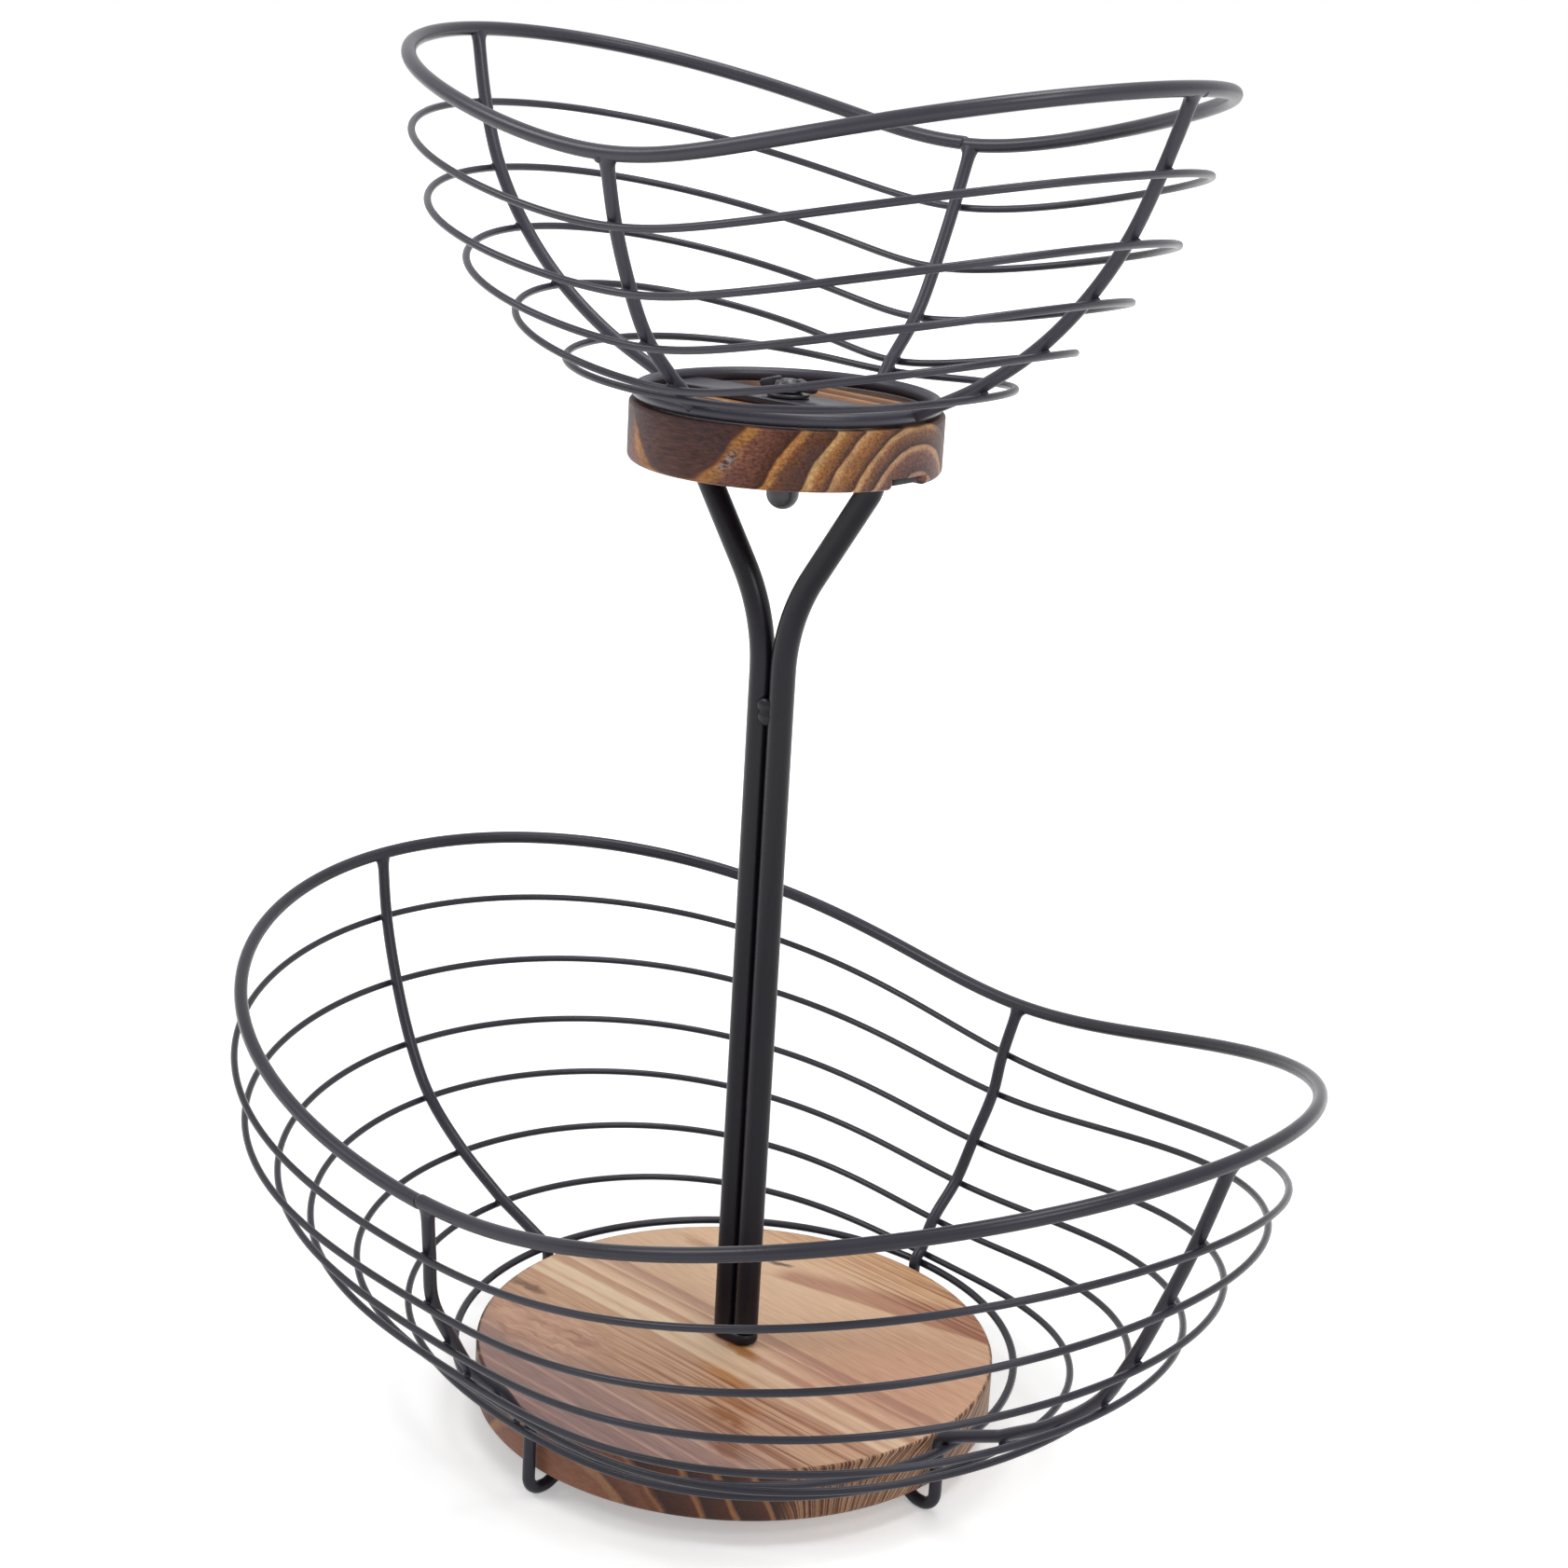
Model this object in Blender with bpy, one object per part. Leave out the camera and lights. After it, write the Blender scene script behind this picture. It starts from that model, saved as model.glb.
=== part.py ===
# Two-tier wire fruit basket on a forked pole, with two round wooden boards.
# Metres, +Z up. The origin is on the floor under the pole, +X along the long axis of the lower bowl.

import bpy
import bmesh
from math import cos, sin, tan, pi, radians, tau, exp
from mathutils import Matrix, Vector
from mathutils.geometry import interpolate_bezier

# Clearance kept between pieces that touch or are welded on the real basket
GAP = 0.0003
CUT_OVERRUN = 0.002

# Wire, rod and bar stock
RIM_WIRE = 0.0044
RIB_WIRE = 0.0040
RING_WIRE = 0.0023
LOWER_BASE_WIRE = 0.0026
UPPER_BASE_WIRE = 0.0044
POLE_ROD = 0.0080
BAR_WIDTH = 0.0160
BAR_THICKNESS = 0.0020

# Wooden boards
LOWER_BOARD_RADIUS = 0.0850
LOWER_BOARD_THICKNESS = 0.0180
UPPER_BOARD_RADIUS = 0.0475
UPPER_BOARD_THICKNESS = 0.0180
BOARD_TOP_ROUNDING = 0.0010
BOARD_BOTTOM_ROUNDING = 0.0020
GROOVE_WIDTH = 0.0170
GROOVE_DEPTH = 0.0033
SEAT_RADIUS = 0.0090
SEAT_DEPTH = 0.0004

# Lower bowl: half sizes of the rim, and its rise above the base ring at its ends and at its sides
LOWER_RIM_LONG = 0.1907
LOWER_RIM_SHORT = 0.1306
LOWER_END_RISE = 0.1260
LOWER_FLANK_RISE = 0.0878
LOWER_LEAN_X = 0.0069
LOWER_LEAN_Y = 0.0014
LOWER_SWAY_X = -0.0008
LOWER_SWAY_Y = -0.0026
BOARD_TO_RIB = 0.0013
LOWER_BASE_BELOW_TOP = 0.0010

# The first ring of the lower bowl sags between two ribs
SAG_IN = 0.0039
SAG_DOWN = 0.0097
SAG_ANGLE = radians(46)
SAG_SPREAD = radians(38)

# Lower rib feet, bent out of the rib wire
BOARD_LIFT = 0.0077
ELBOW_ABOVE_BASE_RING = 0.0022
BEND_RADIUS = 0.0050
FOOT_FLAT = 0.0075
FOOT_RAMP = 0.0070
HUB_RADIUS = 0.0220
HUB_THICKNESS = 0.0020

# Upper bowl, turned against the lower one about the pole
UPPER_TURN = radians(8.4)
UPPER_RIM_LONG = 0.1302
UPPER_RIM_SHORT = 0.0841
UPPER_END_RISE = 0.0988
UPPER_FLANK_RISE = 0.0726
UPPER_SWAY_X = -0.0007
UPPER_SWAY_Y = -0.0012
UPPER_BASE_INSET = 0.0030

# Forked pole
POLE_LENGTH = 0.2914
POLE_FOOT_RADIUS = 0.0075
POLE_FOOT_HEIGHT = 0.0040
ARM_SPREAD = 0.0333
ARM_ANGLE = radians(33)
ARM_BEND_RADIUS = 0.0580
ARM_TOP_LENGTH = 0.0035
ARM_TOP_BEND_RADIUS = 0.0080
CROSS_BAR_INSET = 0.0020

# Fasteners
BASE_BOLT = 0.0060
BOLT_HEAD_WIDTH = 0.0100
BOLT_HEAD_HEIGHT = 0.0038
WASHER_RADIUS = 0.0065
WASHER_THICKNESS = 0.0010
TIE_STUD = 0.0050
DOME_NUT_RADIUS = 0.0050
DOME_NUT_HEIGHT = 0.0145
DOME_NUT_BORE_DEPTH = 0.0080
NUT_HUB_RADIUS = 0.0046
NUT_HUB_TOP_RADIUS = 0.0040
NUT_HUB_HEIGHT = 0.0034
WING_SPAN = 0.0102
WING_HEIGHT = 0.0043
WING_SHOULDER = 0.0052
WING_UNDERCUT = 0.0004
WING_TIP_RADIUS = 0.0012
WING_THICKNESS = 0.0026
WING_TURN = radians(12)
STUD_ABOVE_NUT = 0.0004

# Places of the rings, from the rim (1) down to the base ring (0), as shares of the bowl's own sizes
LOWER_LONG_SHARES = (1, 0.956, 0.856, 0.748, 0.628, 0.441, 0.227, 0)
LOWER_SHORT_SHARES = (1, 1.006, 0.936, 0.727, 0.525, 0.235, 0.062, 0)
LOWER_END_RISE_SHARES = (1, 0.808, 0.623, 0.45, 0.307, 0.181, 0.078, 0)
LOWER_FLANK_RISE_SHARES = (1, 0.815, 0.625, 0.44, 0.284, 0.153, 0.03, 0)
LOWER_FULLNESS_SHARES = (0.015, 0.031, 0.043, 0.034, 0.03, 0.031, 0.02, 0)
UPPER_LONG_SHARES = (1, 0.951, 0.848, 0.709, 0.525, 0.292, 0)
UPPER_SHORT_SHARES = (1, 0.944, 0.759, 0.554, 0.26, 0.176, 0)
UPPER_END_RISE_SHARES = (1, 0.774, 0.576, 0.40, 0.235, 0.089, 0)
UPPER_FLANK_RISE_SHARES = (1, 0.732, 0.477, 0.266, 0.09, 0.05, 0)
UPPER_FULLNESS_SHARES = (0.001, 0.016, 0.044, 0.032, 0.028, 0.029, 0)

# Directions of the ribs about the pole, at the rim and at the base ring: right, back, left, front
LOWER_RIB_TOPS = (radians(0.5), radians(91), radians(183), radians(272.5))
LOWER_RIB_FEET = (radians(4), radians(92.5), radians(186), radians(272.5))
UPPER_RIB_TOPS = (radians(0), radians(89), radians(181.5), radians(269.5))
UPPER_RIB_FEET = (radians(3), radians(89), radians(186), radians(271))

# Fineness of the meshes
LOWER_RING_POINTS = 48
UPPER_RING_POINTS = 40
RING_SIDES = 6
WIRE_SIDES = 8
ROD_SIDES = 10
BOARD_SIDES = 48
SMALL_SIDES = 20
SPAN_STEPS = 3
ARC_STEPS = 3

# Heights worked out from the sizes above
LOWER_TOP = BOARD_LIFT + LOWER_BOARD_THICKNESS
UPPER_BOTTOM = LOWER_TOP + POLE_LENGTH
UPPER_TOP = UPPER_BOTTOM + UPPER_BOARD_THICKNESS
BAR_TOP = UPPER_BOTTOM + GROOVE_DEPTH - GAP
BAR_BOTTOM = BAR_TOP - BAR_THICKNESS
STRAP_BOTTOM = UPPER_TOP + GAP
STRAP_TOP = STRAP_BOTTOM + BAR_THICKNESS
WASHER_BOTTOM = STRAP_TOP + GAP
NUT_BOTTOM = WASHER_BOTTOM + WASHER_THICKNESS + GAP
STUD_HOLE_RADIUS = TIE_STUD / 2 + GAP

# Places worked out from the sizes above
RIB_DROP_RADIUS = LOWER_BOARD_RADIUS + BOARD_TO_RIB + RIB_WIRE / 2
LOWER_BASE_RADIUS = RIB_DROP_RADIUS + RIB_WIRE / 2 + GAP + LOWER_BASE_WIRE / 2
LOWER_BASE_HEIGHT = LOWER_TOP - LOWER_BASE_BELOW_TOP
UPPER_BASE_RADIUS = UPPER_BOARD_RADIUS - UPPER_BASE_INSET
UPPER_BASE_HEIGHT = UPPER_TOP + GAP + UPPER_BASE_WIRE / 2
RIB_TO_RING = (RIB_WIRE + RING_WIRE) / 2 + GAP

BLACK_COAT_COLOUR = (0.022, 0.022, 0.026)
COATED_NUT_COLOUR = (0.035, 0.036, 0.040)
PLATED_STEEL_COLOUR = (0.46, 0.46, 0.45)
TORCHED_PINE_COLOUR = (0.42, 0.22, 0.12)
BURNT_PINE_COLOUR = (0.20, 0.085, 0.035)


class Bowl:
    # One wire bowl: a saddle rim, rings below it and a flat base ring, all symmetric about two planes

    def __init__(self, half_long, half_short, end_rise, flank_rise, base_radius, base_height):
        self.half_long = half_long
        self.half_short = half_short
        self.end_rise = end_rise
        self.flank_rise = flank_rise
        self.base_radius = base_radius
        self.base_height = base_height
        self.lean = (0, 0)
        self.sway = (0, 0)
        self.turn = 0
        self.sagging_ring = None

    def set_shares(self, long_shares, short_shares, end_rise_shares, flank_rise_shares, fullness_shares):
        self.long_shares = long_shares
        self.short_shares = short_shares
        self.end_rise_shares = end_rise_shares
        self.flank_rise_shares = flank_rise_shares
        self.fullness_shares = fullness_shares

    def point(self, ring, angle):
        # Radius and height swing twice in a turn: long and high at the ends, short and low at the sides
        long_half = self.base_radius + (self.half_long - self.base_radius) * self.long_shares[ring]
        short_half = self.base_radius + (self.half_short - self.base_radius) * self.short_shares[ring]
        end_rise = self.end_rise * self.end_rise_shares[ring]
        flank_rise = self.flank_rise * self.flank_rise_shares[ring]
        at_end = cos(angle) ** 2
        fullness = self.half_long * self.fullness_shares[ring] * sin(2 * angle) ** 2
        radius = long_half * at_end + short_half * (1 - at_end) + fullness
        rise = end_rise * at_end + flank_rise * (1 - at_end)
        if ring == self.sagging_ring:
            away = (angle - SAG_ANGLE + pi) % tau - pi
            sag = exp(-(away / SAG_SPREAD) ** 2)
            radius -= SAG_IN * sag
            rise -= SAG_DOWN * sag
        x = radius * cos(angle)
        y = radius * sin(angle)
        # The rim leans with its full share, and the rings half way up stand furthest off centre
        height_share = (self.end_rise_shares[ring] + self.flank_rise_shares[ring]) / 2
        lift = self.lean[0] * x / self.half_long + self.lean[1] * y / self.half_short
        off_centre = 4 * height_share * (1 - height_share)
        x += self.sway[0] * off_centre
        y += self.sway[1] * off_centre
        return Vector((x, y, self.base_height + rise + lift * height_share))

    def rib_angle(self, rib, ring):
        # A rib runs slightly askew, from its place at the rim to its place at the base ring
        height_share = (self.end_rise_shares[ring] + self.flank_rise_shares[ring]) / 2
        return self.rib_feet[rib] + (self.rib_tops[rib] - self.rib_feet[rib]) * height_share

    def ring_points(self, ring, count):
        # Evenly spread between the ribs, with one point where each rib crosses
        ribs = len(self.rib_tops)
        crossings = [self.rib_angle(rib, ring) for rib in range(ribs)]
        crossings.append(crossings[0] + tau)
        steps = count // ribs
        points = []
        for start, end in zip(crossings, crossings[1:]):
            points += [self.point(ring, start + (end - start) * step / steps) for step in range(steps)]
        return points

    def placed(self, points):
        turn = Matrix.Rotation(self.turn, 3, "Z")
        return [turn @ point for point in points]


def clear_scene():
    for existing in list(bpy.data.objects):
        bpy.data.objects.remove(existing, do_unlink=True)


def give_material(part, colour, roughness, metallic):
    material = bpy.data.materials.new(part.name)
    material.use_nodes = True
    shader = material.node_tree.nodes["Principled BSDF"]
    shader.inputs["Base Color"].default_value = (*colour, 1)
    shader.inputs["Roughness"].default_value = roughness
    shader.inputs["Metallic"].default_value = metallic
    part.data.materials.append(material)


def coat(part):
    give_material(part, BLACK_COAT_COLOUR, 0.45, 0.0)


def link(name, data):
    part = bpy.data.objects.new(name, data)
    bpy.context.scene.collection.objects.link(part)
    return part


def wire(name, points, diameter, sides, closed=False):
    curve = bpy.data.curves.new(name, "CURVE")
    curve.dimensions = "3D"
    curve.bevel_depth = diameter / 2
    curve.bevel_resolution = (sides - 4) // 2
    curve.use_fill_caps = not closed
    spline = curve.splines.new("POLY")
    spline.points.add(len(points) - 1)
    for place, point in zip(spline.points, points):
        place.co = point.to_4d()
    spline.use_cyclic_u = closed
    spline.use_smooth = True
    return link(name, curve)


def finish_mesh(name, bm):
    bmesh.ops.recalc_face_normals(bm, faces=bm.faces)
    mesh = bpy.data.meshes.new(name)
    bm.to_mesh(mesh)
    bm.free()
    mesh.shade_smooth()
    mesh.set_sharp_from_angle(angle=radians(30))
    return link(name, mesh)


def turned(name, profile, sides):
    # Turns an outline of (radius, height) points about Z; a radius of 0 closes on the axis
    bm = bmesh.new()
    verts = [bm.verts.new((radius, 0, height)) for radius, height in profile]
    loop = list(zip(verts, verts[1:]))
    if profile[0][0] > 0:
        loop.append((verts[-1], verts[0]))
    edges = [bm.edges.new(pair) for pair in loop]
    axis = (0, 0, 1)
    bmesh.ops.spin(bm, geom=verts + edges, cent=(0, 0, 0), axis=axis, angle=tau, steps=sides, use_merge=True)
    on_axis = [vert for vert in bm.verts if vert.co.xy.length < GAP / 10]
    bmesh.ops.remove_doubles(bm, verts=on_axis, dist=GAP / 10)
    return finish_mesh(name, bm)


def prism(name, outline, low, high):
    # Extrudes an outline of (x, y) points from one height to another
    bm = bmesh.new()
    verts = [bm.verts.new((x, y, low)) for x, y in outline]
    face = bm.faces.new(verts)
    grown = bmesh.ops.extrude_face_region(bm, geom=[face])["geom"]
    moved = [item for item in grown if isinstance(item, bmesh.types.BMVert)]
    bmesh.ops.translate(bm, verts=moved, vec=(0, 0, high - low))
    return finish_mesh(name, bm)


def combine(part, other, operation):
    modifier = part.modifiers.new(operation.title(), "BOOLEAN")
    modifier.operation = operation
    modifier.object = other
    other.hide_render = True
    other.display_type = "WIRE"


def rectangle(length, width):
    return [(sx * length / 2, sy * width / 2) for sx, sy in ((1, 1), (-1, 1), (-1, -1), (1, -1))]


def corner_arc(centre, radius, start, end):
    # Points of an arc about a centre, given as pairs, with both of its ends
    steps = [start + (end - start) * step / ARC_STEPS for step in range(ARC_STEPS + 1)]
    return [(centre[0] + radius * cos(turn), centre[1] + radius * sin(turn)) for turn in steps]


def bent_path(corners, radii):
    # Straight runs between the corners, each inner corner rounded to its own bend radius
    path = [corners[0]]
    for before, corner, after, radius in zip(corners, corners[1:], corners[2:], radii):
        back = (before - corner).normalized()
        ahead = (after - corner).normalized()
        opening = back.angle(ahead)
        centre = corner + (back + ahead).normalized() * radius / sin(opening / 2)
        reach = radius / tan(opening / 2)
        first = corner + back * reach - centre
        last = corner + ahead * reach - centre
        for step in range(ARC_STEPS + 1):
            path.append(centre + first.slerp(last, step / ARC_STEPS) * radius)
    path.append(corners[-1])
    return path


def smooth_path(knots):
    # A smooth curve through the knots, each span a Bezier with handles along the neighbours' chord
    tangents = []
    for index in range(len(knots)):
        before = knots[max(index - 1, 0)]
        after = knots[min(index + 1, len(knots) - 1)]
        tangents.append((after - before).normalized())
    path = [knots[0]]
    for index in range(len(knots) - 1):
        start = knots[index]
        end = knots[index + 1]
        third = (end - start).length / 3
        first = start + tangents[index] * third
        second = end - tangents[index + 1] * third
        path.extend(interpolate_bezier(start, first, second, end, SPAN_STEPS + 1)[1:])
    return path


def upright(place, angle):
    # Stands a place of radius and height in the upright plane at an angle
    return Vector((place.x * cos(angle), place.x * sin(angle), place.y))


def rib_knots(bowl, rib, end):
    # Inside every ring by half of each wire, and just under the rim; end is the last place below
    rings = range(len(bowl.long_shares) - 1)
    places = [bowl.point(ring, bowl.rib_angle(rib, ring)) for ring in rings] + [end]
    knots = []
    for above, place, below in zip(places, places[1:], places[2:]):
        outward = Vector((place.x, place.y, 0)).normalized()
        along = (above - below).normalized()
        inward = (along * outward.dot(along) - outward).normalized()
        knots.append(place + inward * RIB_TO_RING)
    rim = places[0]
    top = rim + (knots[0] - rim).normalized() * (RIM_WIRE / 2 + GAP)
    return [top] + knots


def make_bowl(prefix, bowl, ring_points, base_wire):
    last = len(bowl.long_shares) - 1
    for ring in range(last + 1):
        points = bowl.placed(bowl.ring_points(ring, ring_points))
        if ring == 0:
            made = wire(prefix + "_rim", points, RIM_WIRE, WIRE_SIDES, closed=True)
        elif ring == last:
            made = wire(prefix + "_base_ring", points, base_wire, WIRE_SIDES, closed=True)
        else:
            made = wire(f"{prefix}_ring_{ring}", points, RING_WIRE, RING_SIDES, closed=True)
        coat(made)


def make_lower_ribs(bowl):
    low = RIB_WIRE / 2
    under_board = BOARD_LIFT - GAP - RIB_WIRE / 2
    foot_inner = RIB_DROP_RADIUS - FOOT_FLAT
    profile = [Vector((RIB_DROP_RADIUS, LOWER_BASE_HEIGHT + ELBOW_ABOVE_BASE_RING))]
    profile += [Vector((RIB_DROP_RADIUS, low)), Vector((foot_inner, low))]
    profile += [Vector((foot_inner - FOOT_RAMP, under_board)), Vector((HUB_RADIUS + GAP, under_board))]
    for rib, name in enumerate(("right", "back", "left", "front")):
        foot = [upright(place, bowl.rib_feet[rib]) for place in profile]
        knots = rib_knots(bowl, rib, foot[0])
        bends = bent_path([knots[-1]] + foot, [BEND_RADIUS] * 4)
        coat(wire("lower_rib_" + name, smooth_path(knots) + bends[1:], RIB_WIRE, WIRE_SIDES))


def make_upper_ribs(bowl):
    for rib, name in enumerate(("right", "back", "left", "front")):
        base = upright(Vector((UPPER_BASE_RADIUS, UPPER_BASE_HEIGHT)), bowl.rib_feet[rib])
        knots = rib_knots(bowl, rib, base)
        end = base + (knots[-1] - base).normalized() * (UPPER_BASE_WIRE / 2 + GAP)
        path = bowl.placed(smooth_path(knots + [end]))
        coat(wire("upper_rib_" + name, path, RIB_WIRE, WIRE_SIDES))


def make_board(name, radius, thickness, middle, bottom):
    # The middle holds the last points of the outline, from the top face in to the edge of the hole
    low = bottom + BOARD_BOTTOM_ROUNDING
    high = bottom + thickness - BOARD_TOP_ROUNDING
    profile = [(middle[-1][0], bottom)]
    profile += corner_arc((radius - BOARD_BOTTOM_ROUNDING, low), BOARD_BOTTOM_ROUNDING, -pi / 2, 0)
    profile += corner_arc((radius - BOARD_TOP_ROUNDING, high), BOARD_TOP_ROUNDING, 0, pi / 2)
    return turned(name, profile + middle, BOARD_SIDES)


def make_lower_board():
    # The clamped foot of the pole has pressed a shallow seat into the top
    hole = BASE_BOLT / 2 + GAP
    middle = [(SEAT_RADIUS, LOWER_TOP), (hole, LOWER_TOP - SEAT_DEPTH)]
    board = make_board("lower_board", LOWER_BOARD_RADIUS, LOWER_BOARD_THICKNESS, middle, BOARD_LIFT)
    give_material(board, TORCHED_PINE_COLOUR, 0.6, 0.0)


def make_upper_board():
    middle = [(STUD_HOLE_RADIUS, UPPER_TOP)]
    board = make_board("upper_board", UPPER_BOARD_RADIUS, UPPER_BOARD_THICKNESS, middle, UPPER_BOTTOM)
    length = 2 * (UPPER_BOARD_RADIUS + CUT_OVERRUN)
    groove_low = UPPER_BOTTOM - CUT_OVERRUN
    groove = prism("groove_cutter", rectangle(length, GROOVE_WIDTH), groove_low, UPPER_BOTTOM + GROOVE_DEPTH)
    groove.rotation_euler.z = UPPER_TURN
    combine(board, groove, "DIFFERENCE")
    give_material(board, BURNT_PINE_COLOUR, 0.6, 0.0)


def make_bar(name, length, low):
    # A flat bar across the pole axis, drilled for the tie stud
    bar = prism(name, rectangle(length, BAR_WIDTH), low, low + BAR_THICKNESS)
    hole = [(STUD_HOLE_RADIUS * cos(turn), STUD_HOLE_RADIUS * sin(turn)) for turn in circle_turns()]
    drill = prism(name + "_drill", hole, low - CUT_OVERRUN, low + BAR_THICKNESS + CUT_OVERRUN)
    combine(bar, drill, "DIFFERENCE")
    bar.rotation_euler.z = UPPER_TURN
    coat(bar)


def circle_turns():
    return [tau * step / SMALL_SIDES for step in range(SMALL_SIDES)]


def make_pole():
    foot_low = LOWER_TOP + GAP
    foot_high = foot_low + POLE_FOOT_HEIGHT
    bore = BASE_BOLT / 2 + GAP
    outline = [(bore, foot_low), (POLE_FOOT_RADIUS, foot_low)]
    outline += [(POLE_FOOT_RADIUS, foot_high), (bore, foot_high)]
    coat(turned("pole_foot", outline, SMALL_SIDES))

    # Each rod runs straight up, leans outwards from the fork and ends upright under the cross bar
    beside = (POLE_ROD + GAP) / 2
    kink = BAR_BOTTOM - ARM_TOP_LENGTH
    fork = kink - (ARM_SPREAD - beside) / tan(ARM_ANGLE)
    corners = [Vector((beside, foot_high + GAP)), Vector((beside, fork))]
    corners += [Vector((ARM_SPREAD, kink)), Vector((ARM_SPREAD, BAR_BOTTOM - GAP))]
    path = bent_path(corners, [ARM_BEND_RADIUS, ARM_TOP_BEND_RADIUS])
    for name, angle in (("pole_rod_right", UPPER_TURN), ("pole_rod_left", UPPER_TURN + pi)):
        coat(wire(name, [upright(place, angle) for place in path], POLE_ROD, ROD_SIDES))

    make_bar("cross_bar", 2 * (UPPER_BOARD_RADIUS - CROSS_BAR_INSET), BAR_BOTTOM)


def make_strap():
    # Lies on the upper board inside the base ring, to which its corners reach
    inner = UPPER_BASE_RADIUS - UPPER_BASE_WIRE / 2 - GAP
    half = (inner ** 2 - (BAR_WIDTH / 2) ** 2) ** 0.5
    make_bar("upper_strap", 2 * half, STRAP_BOTTOM)


def make_hub():
    # Steel disc under the lower board, where the inner ends of the lower ribs meet
    high = BOARD_LIFT - GAP
    low = high - HUB_THICKNESS
    bore = BASE_BOLT / 2 + GAP
    outline = [(bore, low), (HUB_RADIUS, low), (HUB_RADIUS, high), (bore, high)]
    coat(turned("hub_plate", outline, 2 * SMALL_SIDES))

    # The bolt comes up through the hub, the lower board and the pole foot
    head_high = low - GAP
    head_low = head_high - BOLT_HEAD_HEIGHT
    corner = BOLT_HEAD_WIDTH / 2 / cos(pi / 6)
    hexagon = [(corner * cos(turn * pi / 3), corner * sin(turn * pi / 3)) for turn in range(6)]
    bolt = prism("base_bolt", hexagon, head_low, head_high)
    shank_high = LOWER_TOP + GAP + POLE_FOOT_HEIGHT - GAP
    round_shank = [(BASE_BOLT / 2 * cos(turn), BASE_BOLT / 2 * sin(turn)) for turn in circle_turns()]
    shank = prism("base_bolt_shank", round_shank, head_low + BOLT_HEAD_HEIGHT / 2, shank_high)
    combine(bolt, shank, "UNION")
    give_material(bolt, PLATED_STEEL_COLOUR, 0.35, 1.0)


def make_tie():
    # Dome nut below the cross bar, stud through bar, board and strap, washer under the wing nut
    radius = TIE_STUD / 2
    nut_high = BAR_BOTTOM - GAP
    nut_low = nut_high - DOME_NUT_HEIGHT
    bore_end = nut_high - DOME_NUT_BORE_DEPTH
    dome = corner_arc((0, nut_low + DOME_NUT_RADIUS), DOME_NUT_RADIUS, -pi / 2, 0)
    outline = [(0, nut_low)] + dome[1:] + [(DOME_NUT_RADIUS, nut_high), (STUD_HOLE_RADIUS, nut_high)]
    outline += [(STUD_HOLE_RADIUS, bore_end), (0, bore_end)]
    coat(turned("dome_nut", outline, SMALL_SIDES))

    stud_low = bore_end + GAP
    stud_high = NUT_BOTTOM + NUT_HUB_HEIGHT + STUD_ABOVE_NUT
    outline = [(0, stud_low), (radius, stud_low), (radius, stud_high), (0, stud_high)]
    stud = turned("tie_stud", outline, SMALL_SIDES)
    give_material(stud, PLATED_STEEL_COLOUR, 0.35, 1.0)

    washer_high = WASHER_BOTTOM + WASHER_THICKNESS
    outline = [(STUD_HOLE_RADIUS, WASHER_BOTTOM), (WASHER_RADIUS, WASHER_BOTTOM)]
    outline += [(WASHER_RADIUS, washer_high), (STUD_HOLE_RADIUS, washer_high)]
    washer = turned("strap_washer", outline, SMALL_SIDES)
    give_material(washer, COATED_NUT_COLOUR, 0.4, 0.6)


def make_wing_nut():
    # Hub turned about its own origin on the stud, with a rounded wing on each side
    outline = [(STUD_HOLE_RADIUS, 0), (NUT_HUB_RADIUS, 0)]
    outline += [(NUT_HUB_TOP_RADIUS, NUT_HUB_HEIGHT), (STUD_HOLE_RADIUS, NUT_HUB_HEIGHT)]
    nut = turned("wing_nut", outline, SMALL_SIDES)
    root = (STUD_HOLE_RADIUS + NUT_HUB_TOP_RADIUS) / 2
    tip = (WING_SPAN - WING_TIP_RADIUS, WING_UNDERCUT + WING_TIP_RADIUS)
    shoulder = (WING_SHOULDER - WING_TIP_RADIUS, WING_HEIGHT - WING_TIP_RADIUS)
    wing = [(root, WING_UNDERCUT)] + corner_arc(tip, WING_TIP_RADIUS, -pi / 2, pi / 3)
    wing += corner_arc(shoulder, WING_TIP_RADIUS, pi / 3, pi * 3 / 4)
    wing.append((root, NUT_HUB_HEIGHT - WING_UNDERCUT))
    for name, turn in (("wing_right", 0), ("wing_left", pi)):
        ear = prism(name, wing, -WING_THICKNESS / 2, WING_THICKNESS / 2)
        ear.rotation_euler = (pi / 2, 0, turn)
        ear.parent = nut
        combine(nut, ear, "UNION")
    nut.location.z = NUT_BOTTOM
    nut.rotation_euler.z = WING_TURN
    give_material(nut, COATED_NUT_COLOUR, 0.4, 0.6)


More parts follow.
